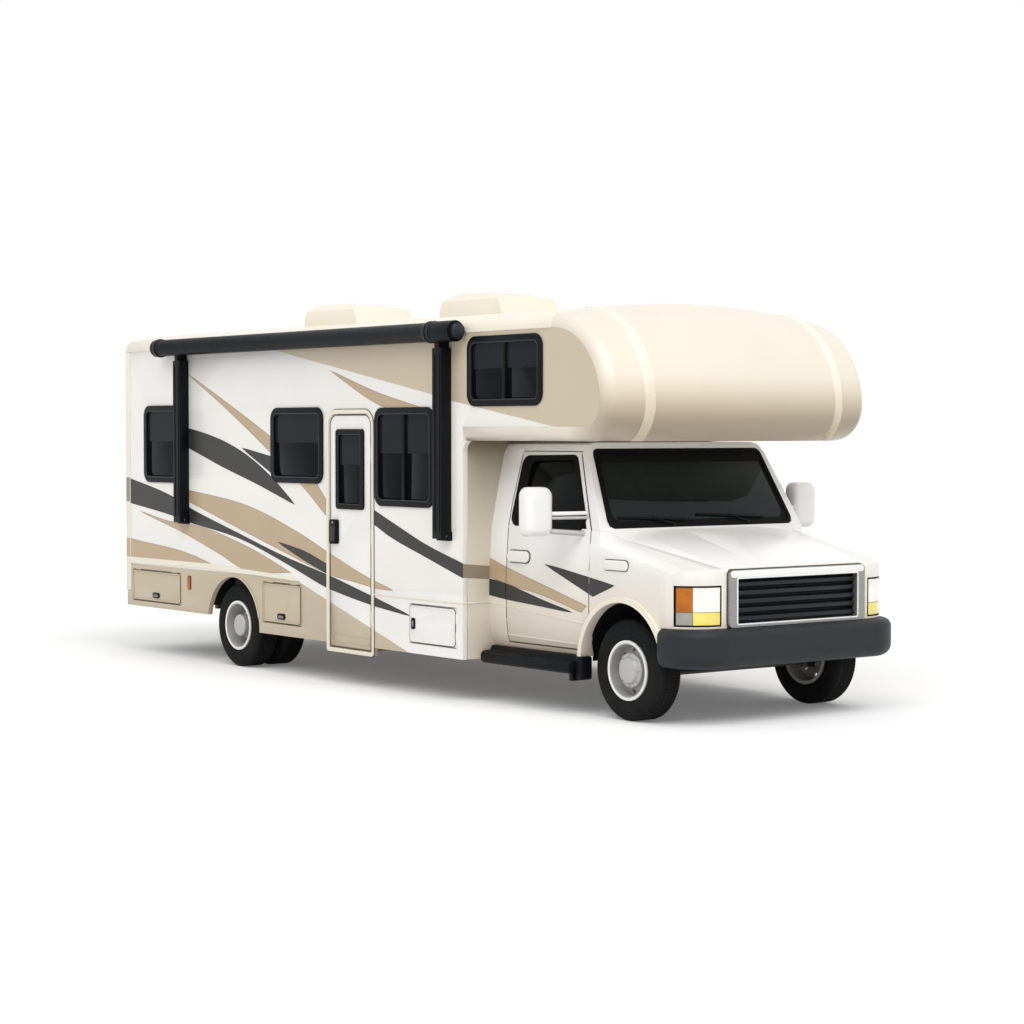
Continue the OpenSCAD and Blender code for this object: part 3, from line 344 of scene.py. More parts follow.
HAZE = Finish("upper_pane", "tinted_glass", (30, 35, 40), rough=0.06, specular=0.07, mottle=0.12,
              grain_depth=0.0)
CLEAR = Finish("screen_glass", "cab_glass", (18, 29, 28), rough=0.04, alpha=0.9, specular=0.25, mottle=0.1,
               grain_depth=0.0)
SIDE_GLASS = Finish("side_glass", "cab_glass", (9, 13, 14), rough=0.04, alpha=0.985, specular=0.1, mottle=0.1,
                    grain_depth=0.0)
BLACK = Finish("black_trim", "black_trim", (15, 17, 20), rough=0.42, specular=0.1, mottle=0.1,
               grain=Grain.PEBBLE, grain_scale=420, grain_depth=0.06)
SEAL = Finish("black_seal", "black_trim", (12, 12, 14), rough=0.6, specular=0.1, mottle=0.12,
              grain_depth=0.05)
SLAT = Finish("grille_black", "black_trim", (28, 31, 34), rough=0.4, specular=0.25, mottle=0.06,
              grain_depth=0.03)
# A lighter satin black; on the window beads and the slat edges it is a painted highlight.
BEAD_AND_HIGHLIGHT = Finish("satin_bead", "black_trim", (42, 46, 51), rough=0.34, specular=0.2, mottle=0.06,
              grain_depth=0.02)
OLIVE = Finish("gasket_olive", "black_trim", (72, 65, 51), rough=0.6, mottle=0.08, grain_depth=0.04)
GREY = Finish("bumper_plastic", "grey_plastic", (36, 39, 42), rough=0.5, specular=0.25, mottle=0.07,
              grain=Grain.PEBBLE, grain_scale=520, grain_depth=0.10)
STEEL = Finish("chassis_steel", "chassis_steel", (40, 40, 41), rough=0.55, metal=0.4, mottle=0.25,
               mottle_scale=9, grain_depth=0.25, dust=0.4)
METAL = Finish("bare_metal", "grey_metal", (128, 130, 132), rough=0.4, metal=0.9, mottle=0.12, mottle_scale=8,
               grain=Grain.BRUSHED, grain_scale=90, grain_depth=0.08)
CHROME = Finish("satin_trim", "bright_trim", (150, 149, 147), rough=0.26, metal=0.6, mottle=0.03,
                grain=Grain.BRUSHED, grain_scale=200, grain_depth=0.01)
BRIGHT = Finish("bright_trim", "bright_trim", (236, 236, 234), rough=0.2, coat=0.5, mottle=0.02,
                grain_depth=0.01)
AMBER = Finish("amber_lens", "amber_lens", (182, 100, 12), rough=0.16, coat=0.2, specular=0.25, mottle=0.16,
               mottle_scale=14, grain=Grain.FLUTES, grain_scale=22, grain_depth=0.5)
YELLOW = Finish("yellow_lens", "amber_lens", (240, 222, 112), rough=0.14, coat=0.4, glow=0.05, mottle=0.06,
                mottle_scale=14, grain=Grain.FLUTES, grain_scale=20, grain_depth=0.45)
RED = Finish("red_lens", "red_lens", (176, 24, 22), rough=0.16, coat=0.7, glow=0.05, mottle=0.1,
             mottle_scale=14, grain=Grain.FLUTES, grain_scale=24, grain_depth=0.5)
LENS = Finish("clear_lens", "clear_lens", (244, 241, 234), rough=0.1, coat=0.5, glow=0.02, mottle=0.06,
              mottle_scale=12, grain=Grain.FLUTES, grain_scale=14, grain_depth=0.4)
SMOKE = Finish("grey_lens", "clear_lens", (152, 151, 145), rough=0.14, coat=0.5, mottle=0.1, mottle_scale=12,
               grain=Grain.FLUTES, grain_scale=18, grain_depth=0.4)
RUBBER = Finish("tyre_rubber", "tyre_rubber", (21, 23, 25), rough=0.72, specular=0.08, mottle=0.12,
                mottle_scale=7, grain=Grain.PEBBLE, grain_scale=260, grain_depth=0.12, dust=0.04)
SILVER = Finish("wheel_silver", "wheel_silver", (184, 184, 181), rough=0.4, metal=0.2, mottle=0.04,
                mottle_scale=6, grain_scale=300, grain_depth=0.03, dust=0.1)
# Painted shade in the dished rim: a darker copy of the wheel's silver, also on the nuts.
DISH_PAINTED_SHADE = Finish("wheel_dish", "wheel_silver", (168, 168, 165), rough=0.42, metal=0.15, mottle=0.06,
              mottle_scale=6, grain_scale=300, grain_depth=0.03, dust=0.1)
RING = Finish("wheel_ring", "wheel_silver", (236, 236, 234), rough=0.3, coat=0.4, mottle=0.02,
              grain_depth=0.02)
FABRIC = Finish("seat_cloth", "seat_fabric", (92, 88, 82), rough=0.9, sheen=0.35, mottle=0.12,
                mottle_scale=20, grain=Grain.WEAVE, grain_scale=260, grain_depth=0.5)
BOARD = Finish("floor_board", "floor_board", (146, 118, 84), rough=0.6, mottle=0.15, mottle_scale=6,
               grain=Grain.BRUSHED, grain_scale=60, grain_depth=0.15)
DASH = Finish("dash_plastic", "grey_plastic", (58, 57, 56), rough=0.62, mottle=0.08, grain=Grain.PEBBLE,
              grain_scale=600, grain_depth=0.2)
MIRROR = Finish("mirror_glass", "cab_glass", (150, 156, 160), rough=0.04, metal=1.0, mottle=0.03,
                grain_depth=0.0)
KHAKI = Finish("stripe_khaki", "skirt_tan", (146, 135, 115), rough=0.36, coat=0.15, mottle=0.03)
TAN_EDGE = Finish("stripe_tan_edge", "skirt_tan", (158, 137, 107), rough=0.36, coat=0.15, mottle=0.03)
DARK_EDGE = Finish("stripe_dark_edge", "black_trim", (18, 18, 18), rough=0.4, specular=0.3, mottle=0.05)


def shaded(obj: Piece, angle: float = 32.0) -> Piece:
    """The object with its faces smoothed, and sharp edges past an angle.

    Args:
        obj: An object in the scene.
        angle: The angle, in degrees.

    Returns:
        The same object.
    """
    obj.data.shade_smooth()
    obj.data.set_sharp_from_angle(angle=math.radians(angle))
    return obj


def settle(obj: Piece) -> Piece:
    """The object with its modifiers turned into plain mesh.

    Args:
        obj: An object in the scene.

    Returns:
        The same object, with no modifier left.
    """
    graph = bpy.context.evaluated_depsgraph_get()
    mesh = bpy.data.meshes.new_from_object(obj.evaluated_get(graph), depsgraph=graph)
    obj.modifiers.clear()
    old = obj.data
    obj.data = mesh
    bpy.data.meshes.remove(old)
    mesh.name = obj.name
    return obj


def in_scene(name: str, mesh: bpy.types.Mesh) -> Piece:
    """A new object at the origin, linked into the scene.

    Args:
        name: Name of the object.
        mesh: Its mesh.

    Returns:
        The object.
    """
    obj = bpy.data.objects.new(name, mesh)
    bpy.context.scene.collection.objects.link(obj)
    return obj


def made(name: str, bm: bmesh.types.BMesh) -> Piece:
    """A new object in the scene from a finished bmesh, which is freed.

    Args:
        name: Name of the object.
        bm: Its faces.

    Returns:
        The object.
    """
    mesh = bpy.data.meshes.new(name)
    bm.to_mesh(mesh)
    bm.free()
    return in_scene(name, mesh)


def carry(obj: Piece, body: str, finish: Finish, *nodes: str) -> Piece:
    """Dresses a finished piece and puts it on its body.

    Args:
        obj: The piece, at the origin.
        body: The CAD body that it moves with.
        finish: What it is made of.
        nodes: CAD nodes that it stands for.

    Returns:
        The piece.
    """
    obj.data.materials.clear()
    obj.data.materials.append(finish.material())
    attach(obj, body)
    if nodes:
        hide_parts(*nodes)
    LOG.info("%s on %s: %d faces", obj.name, body, len(obj.data.polygons))
    return obj


def merged_copy(node: str, shift: Vec = (0.0, 0.0, 0.0)) -> bpy.types.Mesh:
    """A copy of a CAD node's mesh with its triangles joined into flat faces.

    Args:
        node: Name of the CAD node.
        shift: How far the copy is moved, in metres.

    Returns:
        The new mesh.
    """
    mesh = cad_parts[node].data.copy()
    bm = bmesh.new()
    bm.from_mesh(mesh)
    bmesh.ops.remove_doubles(bm, verts=bm.verts, dist=2e-5)
    bmesh.ops.dissolve_limit(bm, angle_limit=math.radians(0.4), verts=bm.verts, edges=bm.edges)
    bmesh.ops.translate(bm, verts=bm.verts, vec=shift)
    bm.to_mesh(mesh)
    bm.free()
    return mesh


def eased(obj: Piece, width: float, segments: int = 2, angle: float = 32.0) -> Piece:
    """Rounds an object's edges and smooths it.

    Args:
        obj: An object in the scene.
        width: Size of the rounding, in metres.
        segments: Faces across it.
        angle: Edges flatter than this, in degrees, stay.

    Returns:
        The object with plain rounded mesh.
    """
    if width:
        bevel = obj.modifiers.new("ease", "BEVEL")
        bevel.width = width
        bevel.segments = segments
        bevel.limit_method = "ANGLE"
        bevel.angle_limit = math.radians(angle)
        bevel.use_clamp_overlap = True
        bevel.miter_outer = "MITER_ARC"
    shaded(obj, angle)
    weigh = obj.modifiers.new("weigh", "WEIGHTED_NORMAL")
    weigh.keep_sharp = True
    return shaded(settle(obj), angle)


def eased_node(node: str, body: str, finish: Finish, width: float = 0.003, segments: int = 2,
               angle: float = 32.0) -> Piece:
    """A CAD node's shape with rounded edges, which stands for the node.

    Args:
        node: Name of the CAD node.
        body: The body that it moves with.
        finish: What it is made of.
        width: Size of the rounding, in metres.
        segments: Faces across it.
        angle: Edges flatter than this, in degrees, stay.

    Returns:
        The new piece.
    """
    obj = eased(in_scene(f"{node}.skin", merged_copy(node)), width, segments, angle)
    return carry(obj, body, finish, node)


def prism(name: str, outlines: Sequence[Outline], y0: float, y1: float) -> Piece:
    """Flat outlines in X and Z, made solid along Y.

    Args:
        name: Name of the object.
        outlines: Closed outlines of X and Z, in metres.
        y0: Where the solid starts.
        y1: Where it ends.

    Returns:
        The object, in the scene.
    """
    bm = bmesh.new()
    for outline in outlines:
        ring = [bm.verts.new((x, y0, z)) for x, z in outline]
        face = bm.faces.new(ring)
        grown_by = bmesh.ops.extrude_face_region(bm, geom=[face])["geom"]
        moved = [v for v in grown_by if isinstance(v, bmesh.types.BMVert)]
        bmesh.ops.translate(bm, verts=moved, vec=(0, y1 - y0, 0))
    bmesh.ops.recalc_face_normals(bm, faces=bm.faces)
    return made(name, bm)


def cut_to(obj: Piece, other: Piece, operation: str = "INTERSECT") -> Piece:
    """Keeps what an object shares with another, or takes the other away.

    Args:
        obj: The object that is cut.
        other: The cutter, which is deleted.
        operation: INTERSECT or DIFFERENCE.

    Returns:
        The cut object.
    """
    cut = obj.modifiers.new("cut", "BOOLEAN")
    cut.operation = operation
    cut.solver = "EXACT"
    cut.object = other
    settle(obj)
    bpy.data.objects.remove(other)
    return obj


def block(name: str, low: Vec, high: Vec) -> Piece:
    """A plain box, to be cut with or rounded.

    Args:
        name: Name of the object.
        low: Its lowest corner.
        high: Its highest corner.

    Returns:
        The object, in the scene.
    """
    bm = bmesh.new()
    bmesh.ops.create_cube(bm, size=1.0)
    for vert in bm.verts:
        vert.co = [l + (c + 0.5) * (h - l) for c, l, h in zip(vert.co, low, high)]
    return made(name, bm)


def rounded(corners: Outline, radius: float | Sequence[float], steps: int = 5) -> list[Point]:
    """An outline with its corners turned into arcs.

    Args:
        corners: The outline's corners, in order.
        radius: Radius of every arc, or of each.
        steps: Points added along each arc.

    Returns:
        The points of the rounded outline.
    """
    count = len(corners)
    radii = [radius] * count if isinstance(radius, (int, float)) else list(radius)
    out: list[Point] = []
    for i, corner in enumerate(corners):
        here, r = Vector(corner), radii[i]
        back = (Vector(corners[i - 1]) - here).normalized()
        ahead = (Vector(corners[(i + 1) % count]) - here).normalized()
        half = math.acos(max(-1.0, min(1.0, back.dot(ahead)))) / 2
        centre = here + (back + ahead).normalized() * (r / math.sin(half))
        first = here + back * (r / math.tan(half)) - centre
        last = here + ahead * (r / math.tan(half)) - centre
        for k in range(steps + 1):
            spoke = first.lerp(last, k / steps).normalized() * r
            out.append((centre.x + spoke.x, centre.y + spoke.y))
    return out


def grown(corners: Outline, margin: float) -> list[Point]:
    """An outline moved outwards on every side.

    Args:
        corners: The outline's corners, in order either way round.
        margin: How far each side moves; negative moves it inwards.

    Returns:
        The corners of the new outline.
    """
    count = len(corners)
    area = sum(corners[i - 1][0] * corners[i][1] - corners[i][0] * corners[i - 1][1] for i in range(count))
    turn = 1 if area > 0 else -1
    out: list[Point] = []
    for i in range(count):
        here = Vector(corners[i])
        into = (here - Vector(corners[i - 1])).normalized()
        away = (Vector(corners[(i + 1) % count]) - here).normalized()
        n0 = Vector((into.y, -into.x)) * turn
        n1 = Vector((away.y, -away.x)) * turn
        shift = (n0 + n1) / max(0.35, 1 + n0.dot(n1))
        out.append((here.x + shift.x * margin, here.y + shift.y * margin))
    return out


def swept(outline: Outline, steps: int = 6) -> list[Point]:
    """An outline with its flat bends drawn as curves and its sharp corners kept.

    Args:
        outline: Corners of the outline.
        steps: Points along each side.

    Returns:
        The points of the curved outline.
    """
    spots = [Vector(p) for p in outline]
    count = len(spots)
    runs = [(spots[(i + 1) % count] - spots[i]) for i in range(count)]
    bends = [runs[i - 1].angle(runs[i]) < math.radians(32) for i in range(count)]
    ways = [(runs[i - 1].normalized() + runs[i].normalized()).normalized() for i in range(count)]
    out: list[Point] = []
    for i, run in enumerate(runs):
        j = (i + 1) % count
        first = ways[i] * run.length if bends[i] else run
        last = ways[j] * run.length if bends[j] else run
        for t in (k / steps for k in range(steps)):
            a, b = 2 * t ** 3 - 3 * t ** 2 + 1, t ** 3 - 2 * t ** 2 + t
            spot = spots[i] * a + first * b + spots[j] * (1 - a) + last * (t ** 3 - t ** 2)
            out.append((spot.x, spot.y))
    return out


def box_outline(x0: float, z0: float, x1: float, z1: float) -> list[Point]:
    """The four corners of an upright rectangle."""
    return [(x0, z0), (x1, z0), (x1, z1), (x0, z1)]


def on_side(side: int) -> Place:
    """Places X, Z and a depth on the flat coach side."""
    return lambda x, z, d: (x, side * (HALF_WIDTH + d), z)


def on_cab(side: int) -> Place:
    """Places X, Z and a depth on the curved side of the cab."""
    return lambda x, z, d: (x, side * (cab_half(z) + d), z)


def on_screen(y: float, z: float, d: float) -> Vec:
    """Places Y, Z and a depth on the sloping windscreen."""
    return (COWL[0] - (z - COWL[1]) * SCREEN_LEAN + d * 0.883, y, z + d * 0.469)


def on_rear(y: float, z: float, d: float) -> Vec:
    """Places Y, Z and a depth on the flat rear wall."""
    return (COACH_REAR - d, y, z)


def cab_half(z: float) -> float:
    """Half width of the cab at a height.

    Args:
        z: The height, in metres.

    Returns:
        The half width, in metres.
    """
    for (z0, w0), (z1, w1) in zip(CAB_SIDE, CAB_SIDE[1:]):
        if z <= z1:
            return w0 + (w1 - w0) * (z - z0) / (z1 - z0)
    return CAB_SIDE[-1][1]


def shell(name: str, loops: Sequence[Sequence[Vec]], closed: bool) -> Piece:
    """A skin stretched between rings of points.

    Args:
        name: Name of the object.
        loops: Rings with equal numbers of points.
        closed: True to join the last ring to the first, False to cap both ends.

    Returns:
        The object, in the scene.
    """
    bm = bmesh.new()
    rings = [[bm.verts.new(p) for p in loop] for loop in loops]
    pairs = list(zip(rings, rings[1:] + rings[:1])) if closed else list(zip(rings, rings[1:]))
    count = len(rings[0])
    for a, b in pairs:
        for i in range(count):
            bm.faces.new((a[i - 1], a[i], b[i], b[i - 1]))
    if not closed:
        bm.faces.new(rings[0])
        bm.faces.new(rings[-1])
    bmesh.ops.recalc_face_normals(bm, faces=bm.faces)
    return made(name, bm)


def band(name: str, outer: Outline, inner: Outline, low: float, high: float, place: Place) -> Piece:
    """A flat frame between two outlines, such as a seal or a moulding.

    Args:
        name: Name of the object.
        outer: Points of the outer outline.
        inner: As many points of the inner outline.
        low: Depth of its back.
        high: Depth of its face.
        place: Puts a point of the outline and a depth in space.

    Returns:
        The object, in the scene.
    """
    loops = [[place(u, v, d) for u, v in outline]
             for outline, d in ((outer, low), (outer, high), (inner, high), (inner, low))]
    return shell(name, loops, True)


def rim(name: str, lines: Outline, outer: Point, inner: Point, depths: Point, place: Place) -> Piece:
    """A flat frame along a rounded outline.

    Args:
        name: Name of the object.
        lines: Corners of the outline.
        outer: How far outside the outline the frame ends, and its corners' radius there.
        inner: The same for its inner edge.
        depths: Depth of its back and of its face.
        place: Puts a point of the outline and a depth in space.

    Returns:
        The object, in the scene.
    """
    edges = [rounded(grown(lines, margin), radius) for margin, radius in (outer, inner)]
    return band(name, *edges, *depths, place)


def plate(name: str, outline: Outline, low: float, high: float, place: Place) -> Piece:
    """A filled outline with thickness.

    Args:
        name: Name of the object.
        outline: Points of the outline.
        low: Depth of its back.
        high: Depth of its face.
        place: Puts a point of the outline and a depth in space.

    Returns:
        The object, in the scene.
    """
    return shell(name, [[place(u, v, d) for u, v in outline] for d in (low, high)], False)


def trace(name: str, path: Outline, width: float, low: float, high: float, place: Place) -> Piece:
    """A thin strip along the left of a line, bent with the panel that it lies on.

    Args:
        name: Name of the object.
        path: Corners of the line.
        width: Width of the strip.
        low: Depth of its back.
        high: Depth of its face.
        place: Puts a point of the line and a depth in space.

    Returns:
        The object, in the scene.
    """
    fine: list[Vector] = []
    for a, b in zip(path, path[1:]):
        parts = max(1, round(math.dist(a, b) / 0.05))
        fine += [Vector(a).lerp(Vector(b), k / parts) for k in range(parts)]
    fine.append(Vector(path[-1]))
    loops = []
    for i, spot in enumerate(fine):
        along = fine[min(i + 1, len(fine) - 1)] - fine[max(i - 1, 0)]
        edge = spot + Vector((-along.y, along.x)).normalized() * width
        loops.append([place(*spot, low), place(*spot, high), place(*edge, high), place(*edge, low)])
    return shell(name, loops, False)


def lathe(name: str, profile: Outline, centre: Vec, side: int, segments: int = 72, axis: str = "Y") -> Piece:
    """A profile of radius and depth turned about an axle.

    Args:
        name: Name of the object.
        profile: Closed outline of radius and distance outwards along the axle.
        centre: The point on the axle from which depth counts.
        side: 1 or -1, the way along the axis that outwards points.
        segments: Flats round the axle.
        axis: X or Y, the axle's direction.

    Returns:
        The object, in the scene.
    """
    x, y, z = centre
    loops = []
    for a in (math.tau * k / segments for k in range(segments)):
        ring = [(r * math.sin(a), side * out, r * math.cos(a)) for r, out in profile]
        loops.append([(x + u, y + v, z + w) if axis == "Y" else (x + v, y + u, z + w) for u, v, w in ring])
    return close_poles(shell(name, loops, True))


def close_poles(obj: Piece) -> Piece:
    """Merges the points that meet on an axle and drops what has no area.

    Args:
        obj: A turned object.

    Returns:
        The same object.
    """
    bm = bmesh.new()
    bm.from_mesh(obj.data)
    bmesh.ops.remove_doubles(bm, verts=bm.verts, dist=1e-6)
    bmesh.ops.delete(bm, geom=[e for e in bm.edges if not e.link_faces], context="EDGES")
    bmesh.ops.recalc_face_normals(bm, faces=bm.faces)
    bm.to_mesh(obj.data)
    bm.free()
    return obj


def rod(name: str, start: Vec, end: Vec, radius: float, sides: int = 14) -> Piece:
    """A round bar with softened ends between two points.

    Args:
        name: Name of the object.
        start: One end.
        end: The other end.
        radius: Radius of the bar.
        sides: Flats round it.

    Returns:
        The object, in the scene.
    """
    first, last = Vector(start), Vector(end)
    along = (last - first).normalized()
    across = along.orthogonal().normalized()
    other = along.cross(across)
    soft = min(radius * 0.5, (last - first).length * 0.2)
    rings = ((0.0, 0.62), (soft * 0.4, 0.88), (soft, 1.0))
    spots = [(first + along * t, f) for t, f in rings] + [(last - along * t, f) for t, f in rings[::-1]]
    loops = []
    for spot, f in spots:
        turns = [math.tau * k / sides for k in range(sides)]
        loops.append([tuple(spot + (across * math.cos(a) + other * math.sin(a)) * radius * f) for a in turns])
    return shaded(shell(name, loops, False), 50)


def repeat_tree() -> Tree:
    """Geometry Nodes that copy a shape along a step and a turn, made once.

    Returns:
        The node group.
    """
    known = bpy.data.node_groups.get("repeat")
    if known:
        return known
    tree = bpy.data.node_groups.new("repeat", "GeometryNodeTree")
    face = tree.interface
    face.new_socket("Shape", in_out="INPUT", socket_type="NodeSocketGeometry")
    for label, kind in (("Count", "Int"), ("Step", "Vector"), ("Turn", "Vector"), ("Origin", "Vector"),
                        ("Finish", "Material")):
        face.new_socket(label, in_out="INPUT", socket_type=f"NodeSocket{kind}")
    face.new_socket("Copies", in_out="OUTPUT", socket_type="NodeSocketGeometry")
    node = {kind: tree.nodes.new(kind) for kind in (
        "NodeGroupInput", "GeometryNodeInputIndex", "GeometryNodePoints", "GeometryNodeInstanceOnPoints",
        "GeometryNodeRealizeInstances", "GeometryNodeTransform", "GeometryNodeSetMaterial",
        "NodeGroupOutput")}
    given = node["NodeGroupInput"].outputs
    index = node["GeometryNodeInputIndex"].outputs["Index"]

    def times_index(label: str) -> Socket:
        """One input multiplied by the copy's number."""
        values = {0: given[label], "Scale": index}
        return add_node(tree, "ShaderNodeVectorMath", values, operation="SCALE").outputs["Vector"]

    points, copies = node["GeometryNodePoints"], node["GeometryNodeInstanceOnPoints"]
    fill(tree, points, {"Count": given["Count"], "Position": times_index("Step")})
    fill(tree, copies, {"Points": points.outputs[0], "Instance": given["Shape"],
                        "Rotation": times_index("Turn")})
    chain = [copies, node["GeometryNodeTransform"], node["GeometryNodeRealizeInstances"],
             node["GeometryNodeSetMaterial"], node["NodeGroupOutput"]]
    for a, b in zip(chain, chain[1:]):
        tree.links.new(a.outputs[0], b.inputs[0])
    fill(tree, node["GeometryNodeTransform"], {"Translation": given["Origin"]})
    fill(tree, node["GeometryNodeSetMaterial"], {"Material": given["Finish"]})
    return tree


def repeated(name: str, obj: Piece, finish: Finish, count: int, step: Vec = (0, 0, 0), turn: Vec = (0, 0, 0),
             origin: Vec = (0, 0, 0)) -> Piece:
    """Copies of a small shape along a line or round an axle, as one plain mesh.

    Args:
        name: Name of the finished row.
        obj: The shape, placed for the first copy.
        finish: What the copies are made of.
        count: Number of copies.
        step: Distance from one copy to the next.
        turn: Turn from one copy to the next, in radians about each axis.
        origin: Where the line or the axle's centre lies.

    Returns:
        The object with all its copies.
    """
    tree = repeat_tree()
    mod = obj.modifiers.new("repeat", "NODES")
    mod.node_group = tree
    values = {"Count": count, "Step": step, "Turn": turn, "Origin": origin, "Finish": finish.material()}
    for item in tree.interface.items_tree:
        if item.item_type == "SOCKET" and item.in_out == "INPUT" and item.name in values:
            mod[item.identifier] = values[item.name]
    settle(obj).name = name
    return obj


def joined(name: str, objs: Sequence[Piece]) -> Piece:
    """Several objects made into one mesh, the first ones deleted.

    Args:
        name: Name of the new object.
        objs: Objects at the origin.

    Returns:
        The joined object.
    """
    bm = bmesh.new()
    for obj in objs:
        bm.from_mesh(obj.data)
        bpy.data.objects.remove(obj)
    return made(name, bm)


def repaint(obj: Piece, finish: Finish, picks: Callable[[Vector], bool]) -> None:
    """Gives some faces of a piece a second finish.

    Args:
        obj: A dressed piece.
        finish: The second finish.
        picks: True for the middle of each face that takes it.
    """
    obj.data.materials.append(finish.material())
    last = len(obj.data.materials) - 1
    for face in obj.data.polygons:
        if picks(face.center):
            face.material_index = last


@dataclass
class Studio:
    """Camera at the photograph's angle, soft light and a pale floor."""

    eye: Vec = (15.478, -11.45, 2.056)
    azimuth: float = 52.704
    elevation: float = 2.013
    focal_px: float = 2294.5
    frame_px: float = 1024.0
    lamps: tuple[tuple[str, Vec, float, float], ...] = (
        ("key", (0.36, -0.70, 0.80), 0.95, 38.0), ("front", (0.62, -0.06, 0.79), 1.2, 34.0),
        ("fill", (0.85, -0.25, 0.35), 0.12, 60.0))
    world_light: float = 0.55
    floor_lift: float = 0.12
    floor_half: float = 140.0

    def build(self) -> None:
        """Makes the camera, the lamps, the world and the floor."""
        self._camera()
        for lamp in self.lamps:
            self._lamp(*lamp)
        self._world()
        self._floor()
        bpy.context.scene.view_settings.view_transform = "Standard"

    def _camera(self) -> None:
        """Places the camera."""
        data = bpy.data.cameras.new("camera")
        data.sensor_width = 36.0
        data.lens = self.focal_px / self.frame_px * data.sensor_width
        data.clip_end = 300.0
        cam = bpy.data.objects.new("camera", data)
        a, e = math.radians(self.azimuth), math.radians(self.elevation)
        back = Vector((math.sin(a) * math.cos(e), -math.cos(a) * math.cos(e), math.sin(e)))
        right = Vector((math.cos(a), math.sin(a), 0.0))
        turn = Matrix((right, back.cross(right), back)).transposed().to_4x4()
        cam.matrix_world = Matrix.Translation(self.eye) @ turn
        bpy.context.scene.collection.objects.link(cam)
        bpy.context.scene.camera = cam

    @staticmethod
    def _lamp(name: str, toward: Vec, strength: float, spread: float) -> None:
        """Adds one wide, even lamp.

        Args:
            name: Name of the lamp.
            toward: Direction from the object to the lamp.
            strength: Light in watts per square metre.
            spread: Apparent size in degrees.
        """
        data = bpy.data.lights.new(name, "SUN")
        data.energy = strength
        data.angle = math.radians(spread)
        lamp = bpy.data.objects.new(name, data)
        lamp.rotation_euler = Vector(toward).to_track_quat("Z", "Y").to_euler()
        bpy.context.scene.collection.objects.link(lamp)

    @staticmethod
    def _seen(tree: Tree) -> Socket:
        """1 where the eye, a reflection or a pane looks, and 0 for light on the object.

        Args:
            tree: The tree of the world or of the floor.

        Returns:
            The value's output.
        """
        path = add_node(tree, "ShaderNodeLightPath").outputs
        out = path["Is Camera Ray"]
        for label in ("Is Glossy Ray", "Is Transmission Ray"):
            either = add_node(tree, "ShaderNodeMath", {0: out, 1: path[label]}, operation="MAXIMUM")
            out = either.outputs["Value"]
        return out

    def _world(self) -> None:
        """White all round for the eye and for reflections, softer as a light."""
        world = bpy.data.worlds.new("studio")
        bpy.context.scene.world = world
        world.use_nodes = True
        tree = world.node_tree
        level = add_node(tree, "ShaderNodeMapRange", {
            "To Min": self.world_light, "To Max": 1.0, "Value": self._seen(tree)})
        fill(tree, tree.nodes["Background"], {"Color": (1, 1, 1, 1), "Strength": level.outputs["Result"]})

    def _floor(self) -> None:
        """A wide pale floor that keeps the shadow."""
        mesh = bpy.data.meshes.new("floor")
        half = self.floor_half
        corners = [(x, y, 0) for x, y in box_outline(-half, -half, half, half)]
        mesh.from_pydata(corners, [], [(0, 1, 2, 3)])
        mat = bpy.data.materials.new("floor_paper")
        mat.use_nodes = True
        tree = mat.node_tree
        values = {0: self._seen(tree), 1: self.floor_lift}
        lift = add_node(tree, "ShaderNodeMath", values, operation="MULTIPLY")
        fill(tree, tree.nodes["Principled BSDF"], {
            "Base Color": (0.9, 0.9, 0.9, 1), "Roughness": 0.9, "Specular IOR Level": 0.0,
            "Emission Color": (1, 1, 1, 1), "Emission Strength": lift.outputs["Value"]})
        mesh.materials.append(mat)
        floor = in_scene("floor", mesh)


@dataclass
class CoachShell:
    """Walls, roof, cap over the cab, skirts and the floor of the coach."""

    edge: float = 0.004
    # Range of |y| whose cap faces take the ribs' painted highlight.
    rib: Point = (0.884, 0.976)

    def build(self) -> None:
        """Rounds and paints the large panels."""
        for node in ("wall_right", "wall_left", "wall_rear"):
            eased_node(node, "vehicle", WHITE, self.edge)
        # The front wall under the cabover carries painted shade.
        eased_node("wall_front", "vehicle", RECESS_PAINTED_SHADE, self.edge)
        eased_node("coach_roof", "vehicle", CREAM, self.edge)
        cap = eased_node("cabover_cap", "vehicle", BEIGE_PAINTED_SHADE, self.edge)
        # The rib faces take a painted highlight.
        repaint(cap, RIB_HIGHLIGHT, lambda c: self.rib[0] < abs(c.y) < self.rib[1])
        eased_node("skirts", "vehicle", SKIRT, self.edge)
        eased_node("coach_floor", "vehicle", BOARD, 0.002)
        eased_node("storage_bins", "vehicle", GREY, 0.002)


